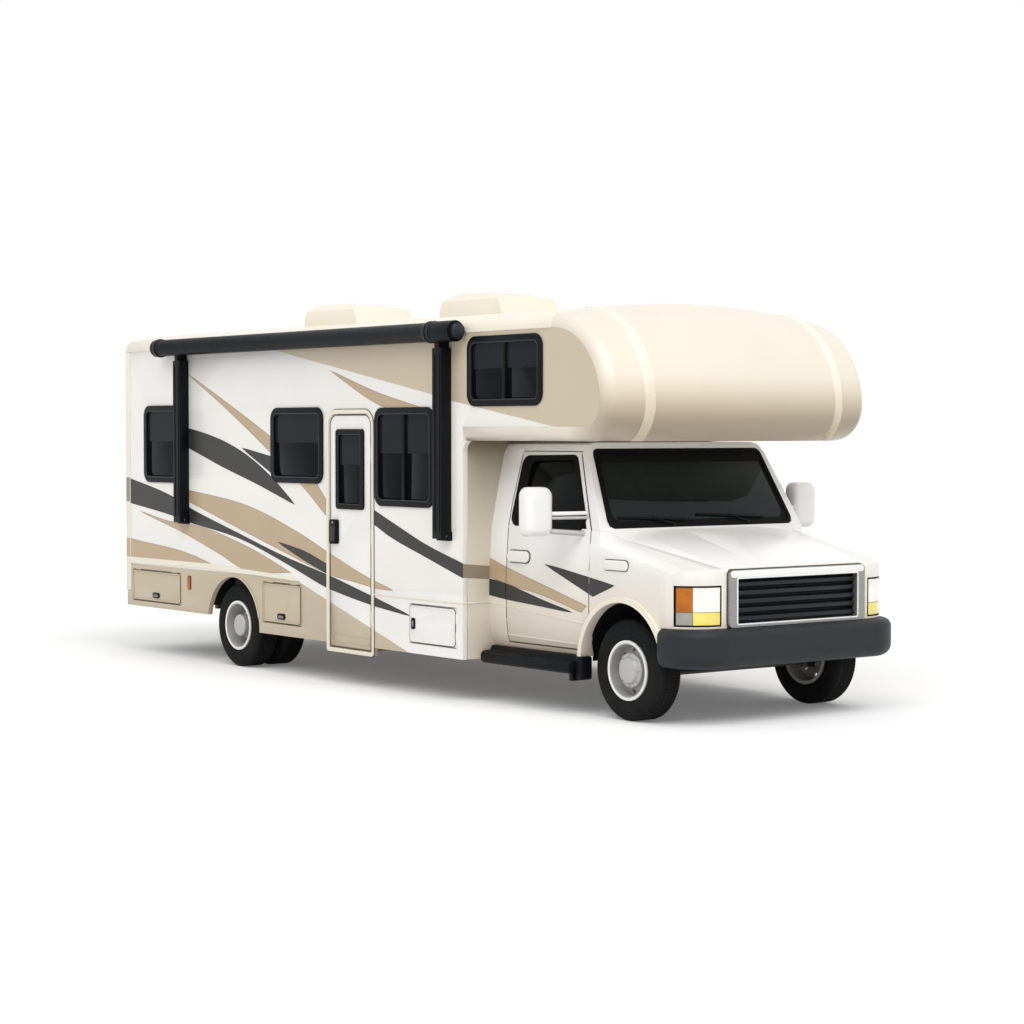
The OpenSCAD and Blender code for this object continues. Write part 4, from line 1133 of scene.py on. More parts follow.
@dataclass
class CoachTrim:
    """Belt and corner mouldings, drip rails and the rounded shoulder of the cab recess."""

    belt: tuple[Point, ...] = (
        (-3.80, 0.824), (-2.34, 0.836), (-0.78, 0.802), (-0.93, 0.84), (-2.34, 0.884), (-3.80, 0.884))
    proud: float = 0.009
    line_z: float = 0.757
    rail_z: float = 2.804
    rail_end: float = 2.57
    arch_r: float = 0.44
    corner_z: Point = (0.572, 2.796)
    recess_z: float = 1.985
    recess_r: float = 0.085

    def build(self) -> None:
        """Makes the mouldings of both sides."""
        for side, tag in SIDES.items():
            place = on_side(side)
            belt = eased(plate(f"belt_moulding_{tag}", self.belt, SUNK, self.proud, place), 0.005, 3)
            carry(belt, "vehicle", CREAM)
            rail = box_outline(COACH_REAR, self.rail_z - 0.008, self.rail_end, self.rail_z + 0.008)
            carry(eased(plate(f"drip_rail_{tag}", rail, SUNK, 0.008, place), 0.003), "vehicle", CREAM)
            path = [(REAR_AXLE_X + self.arch_r * math.cos(a), REAR_ARCH_Z + self.arch_r * math.sin(a))
                    for a in (math.radians(d) for d in range(166, 13, -4))]
            lip = trace(f"rear_arch_lip_{tag}", path, 0.02, SUNK, 0.006, place)
            carry(eased(lip, 0.002), "vehicle", SKIRT)
            self._line(side, tag)
            self._corner(side, tag)
            self._recess(side, tag)

    def _line(self, side: int, tag: str) -> None:
        """The thin moulded line from the entry door round to the cab.

        Args:
            side: RIGHT or LEFT.
            tag: Name of the side.
        """
        low, high = self.line_z - 0.006, self.line_z + 0.006
        run = plate("run", box_outline(0.305, low, COACH_FRONT, high), SUNK, 0.006, on_side(side))
        turn = plate("turn", box_outline(1.0, low, HALF_WIDTH + 0.006, high), SUNK, 0.006,
                     lambda y, z, d: (COACH_FRONT + d, side * y, z))
        carry(eased(joined(f"front_line_{tag}", [run, turn]), 0.003), "vehicle", CREAM)

    def _corner(self, side: int, tag: str) -> None:
        """The moulding over the upright rear corner, with its screws.

        Args:
            side: RIGHT or LEFT.
            tag: Name of the side.
        """
        x, y, t = COACH_REAR, HALF_WIDTH, 0.006
        section = [(x - t, y + t), (x + 0.075, y + t), (x + 0.075, y - 0.002), (x + 0.002, y - 0.002),
                   (x + 0.002, 1.205), (x - t, 1.205)]
        loops = [[(px, side * py, z) for px, py in section] for z in self.corner_z]
        carry(eased(shell(f"corner_moulding_{tag}", loops, False), 0.004, 3), "vehicle", CREAM)
        dome = [(0.0, 0.0), (0.0, 0.003), (0.004, 0.0025), (0.0055, 0.0)]
        head = lathe("head", dome, (0, 0, 0), -1, 10, "X")
        carry(repeated(f"corner_screws_{tag}", head, METAL, 15, (0, 0, 0.15),
                       origin=(x - t, side * 1.2375, 0.62)), "vehicle", METAL)

    def _recess(self, side: int, tag: str) -> None:
        """The rounded corner where the side wall turns under the cabover.

        Args:
            side: RIGHT or LEFT.
            tag: Name of the side.
        """
        x, z, r = COACH_FRONT, self.recess_z, self.recess_r
        arc = [(x + r - r * math.cos(a), z - r + r * math.sin(a))
               for a in (math.pi / 2 * k / 8 for k in range(9))]
        outline = [(x - 0.002, z + 0.002), *arc[::-1], (x - 0.002, z - r)]
        corner = plate(f"recess_corner_{tag}", outline, -0.043, 0.0, on_side(side))
        carry(eased(corner, 0.004), "vehicle", WHITE)


@dataclass
class EntryDoor:
    """The coach's entry door with its frame, window trim, kick panel and handle."""

    low: Point = (-0.34, 0.30)
    high: Point = (0.26, 2.19)
    top_r: float = 0.09
    window: Box = (-0.222, 1.45, 0.142, 2.05)
    handle: Box = (-0.312, 1.14, -0.207, 1.34)
    kick: Point = (0.335, 0.405)

    def build(self) -> None:
        """Makes the door leaf, its frame on the coach and its fittings."""
        place = on_side(RIGHT)
        leaf = eased_node("entry_door", "entry_door", SKIRT, 0.005)
        repaint(leaf, BLACK, lambda c: c.y < -HALF_WIDTH - 0.002)
        eased_node("entry_glass", "entry_door", TINT, 0.002)
        outer = self._outline(0.042, 0.03)
        ring = band("entry_frame", outer, self._outline(0.009, 0.006, 0.012), SUNK, 0.014, place)
        carry(eased(ring, 0.005, 3), "vehicle", CREAM)
        gasket = band("entry_gasket", self._outline(0.048, 0.03), outer, -0.001, 0.003, place)
        carry(gasket, "vehicle", OLIVE)
        edge = band("entry_edge", self._outline(-0.001, 0.004), self._outline(-0.007, 0.004), -0.001, 0.0025,
                    place)
        carry(edge, "entry_door", OLIVE)
        self._window(place)
        self._kick_panel(place)
        self._handle(place)

    def _outline(self, grow: float, low_r: float, hinge: float = 0.0) -> list[Point]:
        """The doorway's outline.

        Args:
            grow: How far outside the door leaf it runs.
            low_r: Radius of the lower corners.
            hinge: More room on the hinge side, for the open leaf.

        Returns:
            Points of the outline.
        """
        corners = box_outline(self.low[0] - grow, self.low[1] - grow, self.high[0] + grow + hinge,
                              self.high[1] + grow)
        top = self.top_r + grow
        return rounded(corners, [low_r, low_r, top - hinge, top], 7)

    def _window(self, place: Place) -> None:
        """The black frame round the door's window and its lighter inner bead, a painted highlight.

        Args:
            place: Puts points on the door's face.
        """
        box = box_outline(*self.window)
        ring = rim("entry_window_frame", box, (0.024, 0.03), (-0.02, 0.022), (-0.006, 0.012), place)
        carry(eased(ring, 0.004, 3), "entry_door", BLACK)
        # The lighter inner bead is a painted highlight along the frame's lip.
        bead = rim("entry_window_bead", box, (-0.014, 0.022), (-0.022, 0.018), (0.006, 0.0145), place)
        carry(eased(bead, 0.002), "entry_door", BEAD_AND_HIGHLIGHT)
        x0, z0, x1, z1 = self.window
        upper = rounded(box_outline(x0 + 0.021, z0 + 0.56 * (z1 - z0), x1 - 0.021, z1 - 0.021), 0.012)
        carry(plate("entry_upper_pane", upper, *PANE, place), "entry_door", HAZE)

    def _kick_panel(self, place: Place) -> None:
        """The raised bead round the panel at the foot of the door.

        Args:
            place: Puts points on the door's face.
        """
        box = box_outline(self.low[0] + 0.022, self.kick[0], self.high[0] - 0.022, self.kick[1])
        bead = rim("entry_kick_panel", box, (0.0, 0.02), (-0.007, 0.014), (-0.001, 0.005), place)
        carry(eased(bead, 0.002), "entry_door", SKIRT)

    def _handle(self, place: Place) -> None:
        """The paddle and the lock in the black handle plate.

        Args:
            place: Puts points on the door's face.
        """
        x0, z0, x1, z1 = self.handle
        lines = rounded(box_outline(x0 + 0.028, z0 + 0.024, x1 - 0.014, z1 - 0.05), 0.018)
        carry(eased(plate("entry_paddle", lines, 0.028, 0.037, place), 0.005, 3), "entry_door", BEAD_AND_HIGHLIGHT)
        lock = lathe("entry_lock", [(0.0, 0.0), (0.0, 0.006), (0.009, 0.006), (0.012, 0.003), (0.012, 0.0)],
                     ((x0 + x1) / 2, -HALF_WIDTH - 0.029, z1 - 0.026), RIGHT, 24)
        carry(shaded(lock), "entry_door", METAL)


@dataclass
class StorageDoors:
    """Hinged storage doors with a dark gasket, a raised rim and a latch."""

    rows: tuple[tuple[str, int, Box], ...] = (
        ("bin_door_rear_right", RIGHT, (-3.745, 0.485, -2.835, 0.770)),
        ("bin_door_mid_right", RIGHT, (-1.403, 0.430, -0.795, 0.770)),
        ("bin_door_front_right", RIGHT, (0.800, 0.413, 1.411, 0.713)),
        ("bin_door_rear_left", LEFT, (-3.745, 0.485, -2.835, 0.770)))
    corner: float = 0.035

    def build(self) -> None:
        """Makes every storage door."""
        for node, side, box in self.rows:
            self._door(node, side, box)

    def _door(self, node: str, side: int, box: Box) -> None:
        """One door with its trim.

        Args:
            node: Its CAD node, which is also its body.
            side: RIGHT or LEFT.
            box: Its lowest X and Z and its highest.
        """
        place = on_side(side)
        leaf = eased_node(node, node, SKIRT, 0.005)
        repaint(leaf, BLACK, lambda c: abs(c.y) > HALF_WIDTH + 0.001)
        lines = box_outline(*box)
        rings = [rounded(grown(lines, -m), max(0.012, self.corner - m)) for m in (0.001, 0.008, 0.02)]
        carry(band(f"{node}.gasket", rings[0], rings[1], -0.001, 0.003, place), node, OLIVE)
        carry(eased(band(f"{node}.rim", rings[1], rings[2], SUNK, 0.006, place), 0.003), node, SKIRT)
        self._latch(node, place, box)

    @staticmethod
    def _latch(node: str, place: Place, box: Box) -> None:
        """The metal pull on the latch.

        Args:
            node: The door's CAD node.
            place: Puts points on the door's face.
            box: The door's lowest X and Z and its highest.
        """
        x0, z0, x1, z1 = box
        mid, low = (x0 + x1) / 2, z0 + 0.061
        if node == "bin_door_front_right":
            mid, low = x0 + 0.051, (z0 + z1) / 2
            pull = rounded(box_outline(mid - 0.013, low - 0.024, mid + 0.013, low + 0.024), 0.012)
        else:
            pull = rounded(box_outline(mid - 0.04, low - 0.014, mid + 0.04, low + 0.008), 0.008)
        carry(eased(plate(f"{node}.pull", pull, 0.008, 0.0125, place), 0.002), node, METAL)


@dataclass
class Windows:
    """Coach windows: frames, inner beads with a painted highlight, glass and paler upper panes."""

    rows: tuple[tuple[str, Box, int], ...] = (
        ("rear", (-3.475, 1.615, -2.835, 2.265), 1),
        ("middle", (-1.23, 1.65, -0.464, 2.228), 1),
        ("front", (0.346, 1.492, 1.11, 2.217), 2),
        ("bunk", (1.593, 2.267, 2.457, 2.739), 2))
    back: Box = (-0.48, 1.64, 0.48, 2.2)
    rim: float = 0.026
    post: float = 0.019
    corner: float = 0.07

    def build(self) -> None:
        """Makes the frames and panes on both sides and at the rear."""
        eased_node("window_frames", "vehicle", BLACK, 0.005, 3)
        eased_node("window_glass", "vehicle", TINT, 0.001)
        for side, tag in SIDES.items():
            for name, box, panes in self.rows:
                self._dress(f"{name}_{tag}", box, panes, on_side(side))
        self._dress("back", self.back, 1, on_rear)

    def _dress(self, name: str, box: Box, panes: int, place: Place) -> None:
        """The beads, lighter as a painted highlight, and the upper panes of one window.

        Args:
            name: Part of the pieces' names.
            box: Lowest and highest corner of the opening.
            panes: Panes side by side.
            place: Puts points on the wall.
        """
        lines = box_outline(*box)
        inner = self.corner - self.rim
        # The lighter inner bead is a painted highlight along the frame's lip.
        bead = rim(f"window_bead_{name}", lines, (0.008 - self.rim, inner + 0.008),
                   (-0.003 - self.rim, inner), (0.006, 0.018), place)
        carry(eased(bead, 0.003), "vehicle", BEAD_AND_HIGHLIGHT)
        x0, z0, x1, z1 = box
        width = (x1 - x0) / panes
        sashes = []
        for k in range(panes):
            low = x0 + k * width + (self.rim if k == 0 else self.post)
            high = x0 + (k + 1) * width - (self.rim if k == panes - 1 else self.post)
            split = z0 + 0.54 * (z1 - z0)
            pane = rounded(box_outline(low + 0.002, split, high - 0.002, z1 - self.rim - 0.002), 0.02)
            sashes.append(plate("pane", pane, *PANE, place))
        carry(joined(f"window_upper_{name}", sashes), "vehicle", HAZE)


@dataclass
class Awning:
    """Rolled awning on two arms along the right side."""

    roll: Point = (-1.36, 2.808)
    arms: tuple[float, float] = (-2.733, 1.295)

    def build(self) -> None:
        """Rounds the roller and the arms and adds collars, channels and bolts."""
        eased_node("awning", "vehicle", BLACK, 0.016, 4)
        y, z = self.roll
        collars = [lathe("collar", [(0.07, -w), (0.083, -w), (0.085, 0.0), (0.083, w), (0.07, w)], (x, y, z),
                         LEFT, 48, "X") for x, w in ((-3.02, 0.01), (1.215, 0.012), (1.27, 0.006))]
        ends = [lathe("end", [(0.0, 0.0), (0.0, s * 0.012), (0.045, s * 0.009), (0.058, 0.0)], (x, y, z),
                      LEFT, 48, "X") for x, s in ((-3.085, -1), (1.565, 1))]
        carry(shaded(joined("awning_collars", collars + ends)), "vehicle", BEAD_AND_HIGHLIGHT)
        for x, tag in zip(self.arms, ("rear", "front")):
            self._arm(x, tag)

    def _arm(self, x: float, tag: str) -> None:
        """Channel strips, and the bolts of the lower foot of one arm.

        Args:
            x: Middle of the arm.
            tag: Name of the arm.
        """
        place = on_side(RIGHT)
        strips = [plate("strip", rounded(box_outline(x + a, 1.29, x + b, 2.64), 0.006), 0.093, 0.099, place)
                  for a, b in ((-0.04, -0.022), (0.022, 0.04))]
        carry(eased(joined(f"awning_channel_{tag}", strips), 0.002), "vehicle", BLACK)
        bolt = lathe("bolt", [(0.0, 0.0), (0.0, 0.007), (0.006, 0.007), (0.008, 0.004), (0.008, 0.0)],
                     (0, 0, 0), RIGHT, 6)
        carry(repeated(f"awning_bolts_{tag}", bolt, METAL, 2, (0.126, 0, 0),
                       origin=(x - 0.063, -HALF_WIDTH - 0.047, 1.262)), "vehicle", METAL)


@dataclass
class RoofUnits:
    """Two smooth covers on the roof with louvres behind."""

    centres: tuple[float, float] = (-1.83, 0.28)

    def build(self) -> None:
        """Rounds the covers and adds their louvres."""
        eased_node("roof_units", "vehicle", CREAM, 0.03, 4)
        for k, x in enumerate(self.centres):
            slat = eased(block("slat", (-0.006, -0.16, -0.004), (0.006, 0.16, 0.004)), 0.003)
            carry(repeated(f"roof_louvres_{k + 1}", slat, GREY, 5, (0.0048, 0, 0.022),
                           origin=(x - 0.437, 0, 3.0)), "vehicle", GREY)


@dataclass
class CabBody:
    """Cab shell, doors, glass, seals, handles, wipers and creases."""

    window: tuple[Point, ...] = ((1.818, 1.372), (2.643, 1.35), (2.388, 1.868), (1.852, 1.858))
    surround: tuple[Point, ...] = ((1.728, 1.35), (2.668, 1.331), (2.402, 1.886), (1.758, 1.876))
    screen: tuple[Point, ...] = ((-0.905, 1.368), (0.905, 1.368), (0.818, 1.915), (-0.818, 1.915))
    wipers: tuple[tuple[Point, Point, Point], ...] = (
        ((-0.30, 1.372), (-0.80, 1.43), (-0.16, 1.405)), ((0.44, 1.372), (-0.04, 1.44), (0.62, 1.41)))
    door_arch_r: float = 0.502
    handle: Box = (1.735, 1.077, 1.995, 1.163)
    marker: Box = (2.865, 1.07, 3.135, 1.142)

    def build(self) -> None:
        """Makes the cab's panels and everything that sits on them."""
        # The cab's white carries painted shade that darkens it towards the bottom.
        eased_node("cab_shell", "vehicle", CAB_WHITE, 0.012, 3)
        front = eased_node("cab_front", "vehicle", CAB_WHITE, 0.012, 3)
        repaint(front, CREAM, lambda c: abs(c.y) > 1.0215)
        eased_node("bonnet", "bonnet", BONNET_PAINTED_LIGHT, 0.012, 3)
        eased_node("cab_floor", "vehicle", DASH, 0.003)
        eased_node("wheel_liners", "vehicle", SEAL, 0.002)
        eased_node("windscreen", "vehicle", CLEAR, 0.001)
        self._screen_trim()
        self._wipers()
        for side, tag in SIDES.items():
            self._door(side, tag)
            self._wing(side, tag)

    def _screen_trim(self) -> None:
        """The black border on the glass and the rubber round it."""
        border = rim("screen_border", self.screen, (-0.001, 0.05), (-0.042, 0.06), PANE, on_screen)
        carry(border, "vehicle", SEAL)
        rubber = rim("screen_rubber", self.screen, (0.014, 0.055), (-0.012, 0.05), (-0.007, 0.004), on_screen)
        carry(eased(rubber, 0.003), "vehicle", SEAL)
        tint = rounded([(-0.82, 1.83), (0.82, 1.83), (0.79, 1.885), (-0.79, 1.885)], 0.01)
        carry(plate("screen_tint_band", tint, -0.0079, -0.0065, on_screen), "vehicle", SEAL)

    def _wipers(self) -> None:
        """Two wipers parked along the foot of the windscreen."""
        for k, (pivot, tip, heel) in enumerate(self.wipers):
            middle = ((tip[0] + heel[0]) / 2, (tip[1] + heel[1]) / 2)
            blade = rod("blade", on_screen(*tip, 0.006), on_screen(*heel, 0.006), 0.009)
            arm = rod("arm", on_screen(*pivot, 0.012), on_screen(*middle, 0.016), 0.007)
            clip = rod("clip", on_screen(*middle, 0.003), on_screen(*middle, 0.02), 0.014)
            boss = rod("boss", on_screen(*pivot, -0.004), on_screen(*pivot, 0.02), 0.016)
            carry(joined(f"wiper_{k + 1}", [blade, arm, clip, boss]), "vehicle", BLACK)

    def _door(self, side: int, tag: str) -> None:
        """One cab door with its window seal, handle and creases.

        Args:
            side: RIGHT or LEFT.
            tag: Name of the side, as in the door's body.
        """
        body = f"cab_door_{tag}"
        place = on_cab(side)
        eased_node(body, body, CAB_WHITE, 0.008, 3)
        eased_node(f"cab_glass_{tag}", body, SIDE_GLASS, 0.001)
        seal = band(f"{body}.seal", rounded(self.surround, 0.075), rounded(grown(self.window, -0.022), 0.06),
                    -0.013, 0.004, place)
        carry(eased(seal, 0.003), body, SEAL)
        r = self.door_arch_r
        arc = [(FRONT_AXLE_X - r * math.cos(a), FRONT_ARCH_Z + r * math.sin(a))
               for a in (0.13, 0.26, 0.39, 0.52, 0.65, 0.718)]
        path = [(1.742, 1.885), (1.712, 1.5), (1.712, 0.47), *arc, (2.697, 1.348), (2.45, 1.885)]
        carry(trace(f"{body}.edge", path, 0.0055, -0.007, 0.001, place), body, OLIVE)
        lines = box_outline(*self.handle)
        cup = plate(f"{body}.handle_cup", rounded(grown(lines, 0.007), 0.046, 7), SUNK, 0.003, place)
        carry(cup, body, OLIVE)
        grip = plate(f"{body}.handle", rounded(lines, 0.04, 7), SUNK, 0.024, place)
        carry(eased(grip, 0.017, 5), body, CAB_WHITE)
        for name, z0, z1, x1 in (("upper_crease", 0.742, 0.670, 2.63), ("lower_crease", 0.526, 0.508, 2.585)):
            strip = [(1.72, z0 - 0.006), (x1, z1 - 0.006), (x1, z1 + 0.006), (1.72, z0 + 0.006)]
            carry(eased(plate(f"{body}.{name}", strip, -0.003, 0.005, place), 0.003), body, CREAM)
        edge = [(1.505, 0.75), (1.703, 0.738), (1.703, 0.75), (1.505, 0.762)]
        carry(eased(plate(f"pillar_crease_{tag}", edge, -0.003, 0.005, place), 0.003), "vehicle", CREAM)

    def _wing(self, side: int, tag: str) -> None:
        """The pill-shaped marker on the wing and the inner lip of the arch.

        Args:
            side: RIGHT or LEFT.
            tag: Name of the side.
        """
        def place(x: float, z: float, d: float) -> Vec:
            """Puts a point on the flat side of the wing."""
            return (x, side * (WING_SIDE + d), z)

        ring = rounded(grown(box_outline(*self.marker), 0.006), 0.04, 7)
        carry(plate(f"wing_cup_{tag}", ring, -0.006, 0.002, place), "vehicle", OLIVE)
        pill = plate(f"wing_marker_{tag}", rounded(box_outline(*self.marker), 0.034, 7), -0.006, 0.018, place)
        carry(eased(pill, 0.013, 5), "vehicle", CAB_WHITE)
        loops = []
        for a in (math.radians(d) for d in range(24, 177, 4)):
            loops.append([(FRONT_AXLE_X + r * math.cos(a), side * y, FRONT_ARCH_Z + r * math.sin(a))
                          for r, y in ((0.441, 1.044), (0.453, 1.044), (0.453, 1.0505), (0.441, 1.0505))])
        carry(eased(shell(f"arch_lip_{tag}", loops, False), 0.003), "vehicle", CREAM)


@dataclass
class Mirrors:
    """Rounded door mirrors with a glass behind and a twin arm."""

    x: float = 2.475
    shape: Box = (1.2, 1.3, 1.445, 1.656)
    slices: tuple[Point, ...] = ((-0.06, 0.012), (-0.055, 0.004), (-0.047, 0.0), (0.0, 0.001), (0.022, 0.005),
                                 (0.039, 0.013), (0.051, 0.026), (0.058, 0.043), (0.06, 0.06))

    def build(self) -> None:
        """Makes both mirrors."""
        for side, tag in SIDES.items():
            body = f"cab_door_{tag}"
            loops = [[(self.x + dx, side * y, z) for y, z in
                      rounded(grown(box_outline(*self.shape), -inset), 0.062 - inset * 0.35, 7)]
                     for dx, inset in self.slices]
            head = shaded(shell(f"mirror_{tag}.head", loops, False), 44)
            carry(head, body, CAB_WHITE, f"mirror_{tag}")
            self._glass(side, tag, body)
            upper = rod(f"mirror_{tag}.arm", (2.495, side * 1.225, 1.462), (2.628, side * 0.972, 1.466),
                        0.015)
            carry(upper, body, CAB_WHITE)
            stays = [rod("stay", (2.495, side * 1.225, 1.43), (2.64, side * 0.978, 1.434), 0.011),
                     rod("foot", (2.495, side * 1.215, 1.335), (2.62, side * 0.985, 1.318), 0.02)]
            carry(joined(f"mirror_{tag}.stays", stays), body, SILVER)

    def _glass(self, side: int, tag: str, body: str) -> None:
        """The glass and its bezel on the rear face.

        Args:
            side: RIGHT or LEFT.
            tag: Name of the side.
            body: The door that carries the mirror.
        """
        def behind(y: float, z: float, d: float) -> Vec:
            """Puts a point on the rear face of the mirror."""
            return (self.x - 0.06 - d, side * y, z)

        lines = grown(box_outline(*self.shape), -0.032)
        bezel = rim(f"mirror_{tag}.bezel", lines, (0.008, 0.046), (0.0, 0.04), (-0.004, 0.005), behind)
        carry(eased(bezel, 0.002), body, SEAL)
        carry(plate(f"mirror_{tag}.glass", rounded(lines, 0.04), -0.004, 0.002, behind), body, MIRROR)


@dataclass
class Nose:
    """Grille, lamps and bumper, and the coach's side markers."""

    grille: Box = (-0.665, 0.694, 0.665, 1.096)
    opening: Box = (-0.585, 0.722, 0.585, 1.032)
    brow: Box = (-0.654, 1.041, 0.654, 1.091)
    marker: Box = (-2.695, 0.64, -2.651, 0.752)
    face: float = 3.775

    def build(self) -> None:
        """Makes the front end."""
        eased_node("grille_surround", "vehicle", CHROME, 0.016, 4)
        brow = rounded(box_outline(*self.brow), 0.024)
        carry(eased(plate("grille_brow", brow, 0.018, 0.031, self._front), 0.008, 3), "vehicle", BRIGHT)
        eased_node("grille_slats", "vehicle", SLAT, 0.006, 3)
        eased_node("front_bumper", "vehicle", GREY, 0.012, 3)
        self._grille_lines()
        self._lamps()

    def _front(self, y: float, z: float, d: float) -> Vec:
        """Puts a point on the flat front of the nose."""
        return (self.face + d, y, z)

    def _grille_lines(self) -> None:
        """The dark line round the surround, its inner bezel and painted highlights on the slats' upper edges.
        """
        outer = box_outline(*self.grille)
        line = rim("grille_gasket", outer, (0.006, 0.043), (-0.004, 0.032), (-0.02, 0.006), self._front)
        carry(line, "vehicle", OLIVE)
        inner = box_outline(*self.opening)
        bezel = rim("grille_bezel", inner, (0.012, 0.017), (0.0005, 0.006), (0.02, 0.03), self._front)
        carry(eased(bezel, 0.003), "vehicle", BRIGHT)
        # Lighter strips on the slats' upper edges: painted highlight.
        edge = eased(block("edge", (-0.006, -0.584, -0.003), (0.0015, 0.584, 0.004)), 0.002)
        edges = repeated("slat_edge_highlights", edge, BEAD_AND_HIGHLIGHT, 5, (0, 0, 0.06), origin=(self.face - 0.003, 0, 0.762))
        carry(edges, "vehicle", BEAD_AND_HIGHLIGHT)

    def _lamps(self) -> None:
        """Lens tiles with their seals and bars, and the side markers."""
        tiles = {
            "clear": (LENS, (0.728, 0.811), (0.914, 0.980)),
            "amber": (AMBER, (0.917, 0.811), (1.06, 0.980)),
            "grey": (SMOKE, (0.917, 0.720), (1.06, 0.807)),
            "yellow": (YELLOW, (0.728, 0.720), (0.914, 0.807)),
        }
        for name, (finish, low, high) in tiles.items():
            parts = [self._lens_cut((3.5, *low), (3.9, *high), side, 0.0) for side in SIDES]
            piece = shaded(joined(f"lamp_{name}", parts))
            carry(piece, "vehicle", finish, *(["headlamps"] if name == "clear" else []))
        rims = [((3.5, 0.70, 0.980), (3.9, 1.06, 0.994)), ((3.5, 0.70, 0.704), (3.9, 1.06, 0.720)),
                ((3.5, 0.70, 0.720), (3.9, 0.728, 0.980)), ((3.5, 0.9, 0.720), (3.606, 1.06, 0.980))]
        bars = [((3.5, 0.914, 0.720), (3.9, 0.917, 0.980)), ((3.5, 0.728, 0.807), (3.9, 0.914, 0.811)),
                ((3.606, 0.917, 0.807), (3.9, 1.06, 0.811))]
        for name, finish, strips, out in (("lamp_seals", SEAL, rims, 0.003), ("lamp_bars", OLIVE, bars, 0.0)):
            parts = [self._lens_cut(low, high, side, out) for low, high in strips for side in SIDES]
            carry(shaded(joined(name, parts)), "vehicle", finish)
        self._markers()

    @staticmethod
    def _lens_cut(low: Vec, high: Vec, side: int, out: float) -> Piece:
        """What the lamp's solid shares with a box.

        Args:
            low: Lowest corner of the box on the left side.
            high: Highest corner.
            side: RIGHT or LEFT.
            out: How far the lamp is moved outwards first.

        Returns:
            The cut object.
        """
        shift = (out, side * out * 0.6, 0.0)
        host = joined("lens", [in_scene("a", merged_copy("headlamps", shift)),
                               in_scene("b", merged_copy("amber_lamps", shift))])
        ys = sorted((side * low[1], side * high[1]))
        return cut_to(host, block("cutter", (low[0], ys[0], low[2]), (high[0], ys[1], high[2])))

    def _markers(self) -> None:
        """Ridged amber side markers in black bases."""
        lines = box_outline(*self.marker)
        for side, tag in SIDES.items():
            place = on_side(side)
            base = plate(f"marker_base_{tag}", rounded(grown(lines, 0.007), 0.01), -0.001, 0.005, place)
            carry(eased(base, 0.002), "vehicle", OLIVE)
            lens = eased(plate(f"marker_lens_{tag}", rounded(lines, 0.008), 0.004, 0.0145, place), 0.004, 3)
            carry(lens, "vehicle", AMBER, *(["amber_lamps"] if side == RIGHT else []))
            ridge = eased(block("ridge", (-0.019, -0.002, -0.002), (0.019, 0.002, 0.002)), 0.001)
            carry(repeated(f"marker_ridges_{tag}", ridge, AMBER, 9, (0, 0, 0.011),
                           origin=(-2.673, side * (HALF_WIDTH + 0.0145), 0.652)), "vehicle", AMBER)


@dataclass
class RearEnd:
    """Rear bumper, hitch and tail lamps."""

    lamp_y: float = 1.12
    lamp_z: tuple[float, float] = (0.9, 1.1)

    def build(self) -> None:
        """Makes the pieces at the rear."""
        eased_node("rear_bumper", "vehicle", GREY, 0.006)
        eased_node("hitch_receiver", "vehicle", STEEL, 0.003)
        eased_node("red_lamps", "vehicle", RED, 0.006, 3)
        section = [(0.066, -0.002), (0.068, 0.016), (0.074, 0.018), (0.084, 0.012), (0.086, -0.002)]
        rings = [lathe("ring", section, (COACH_REAR, side * self.lamp_y, z), -1, 48, "X")
                 for side in SIDES for z in self.lamp_z]
        carry(shaded(joined("tail_lamp_rings", rings)), "vehicle", CHROME)


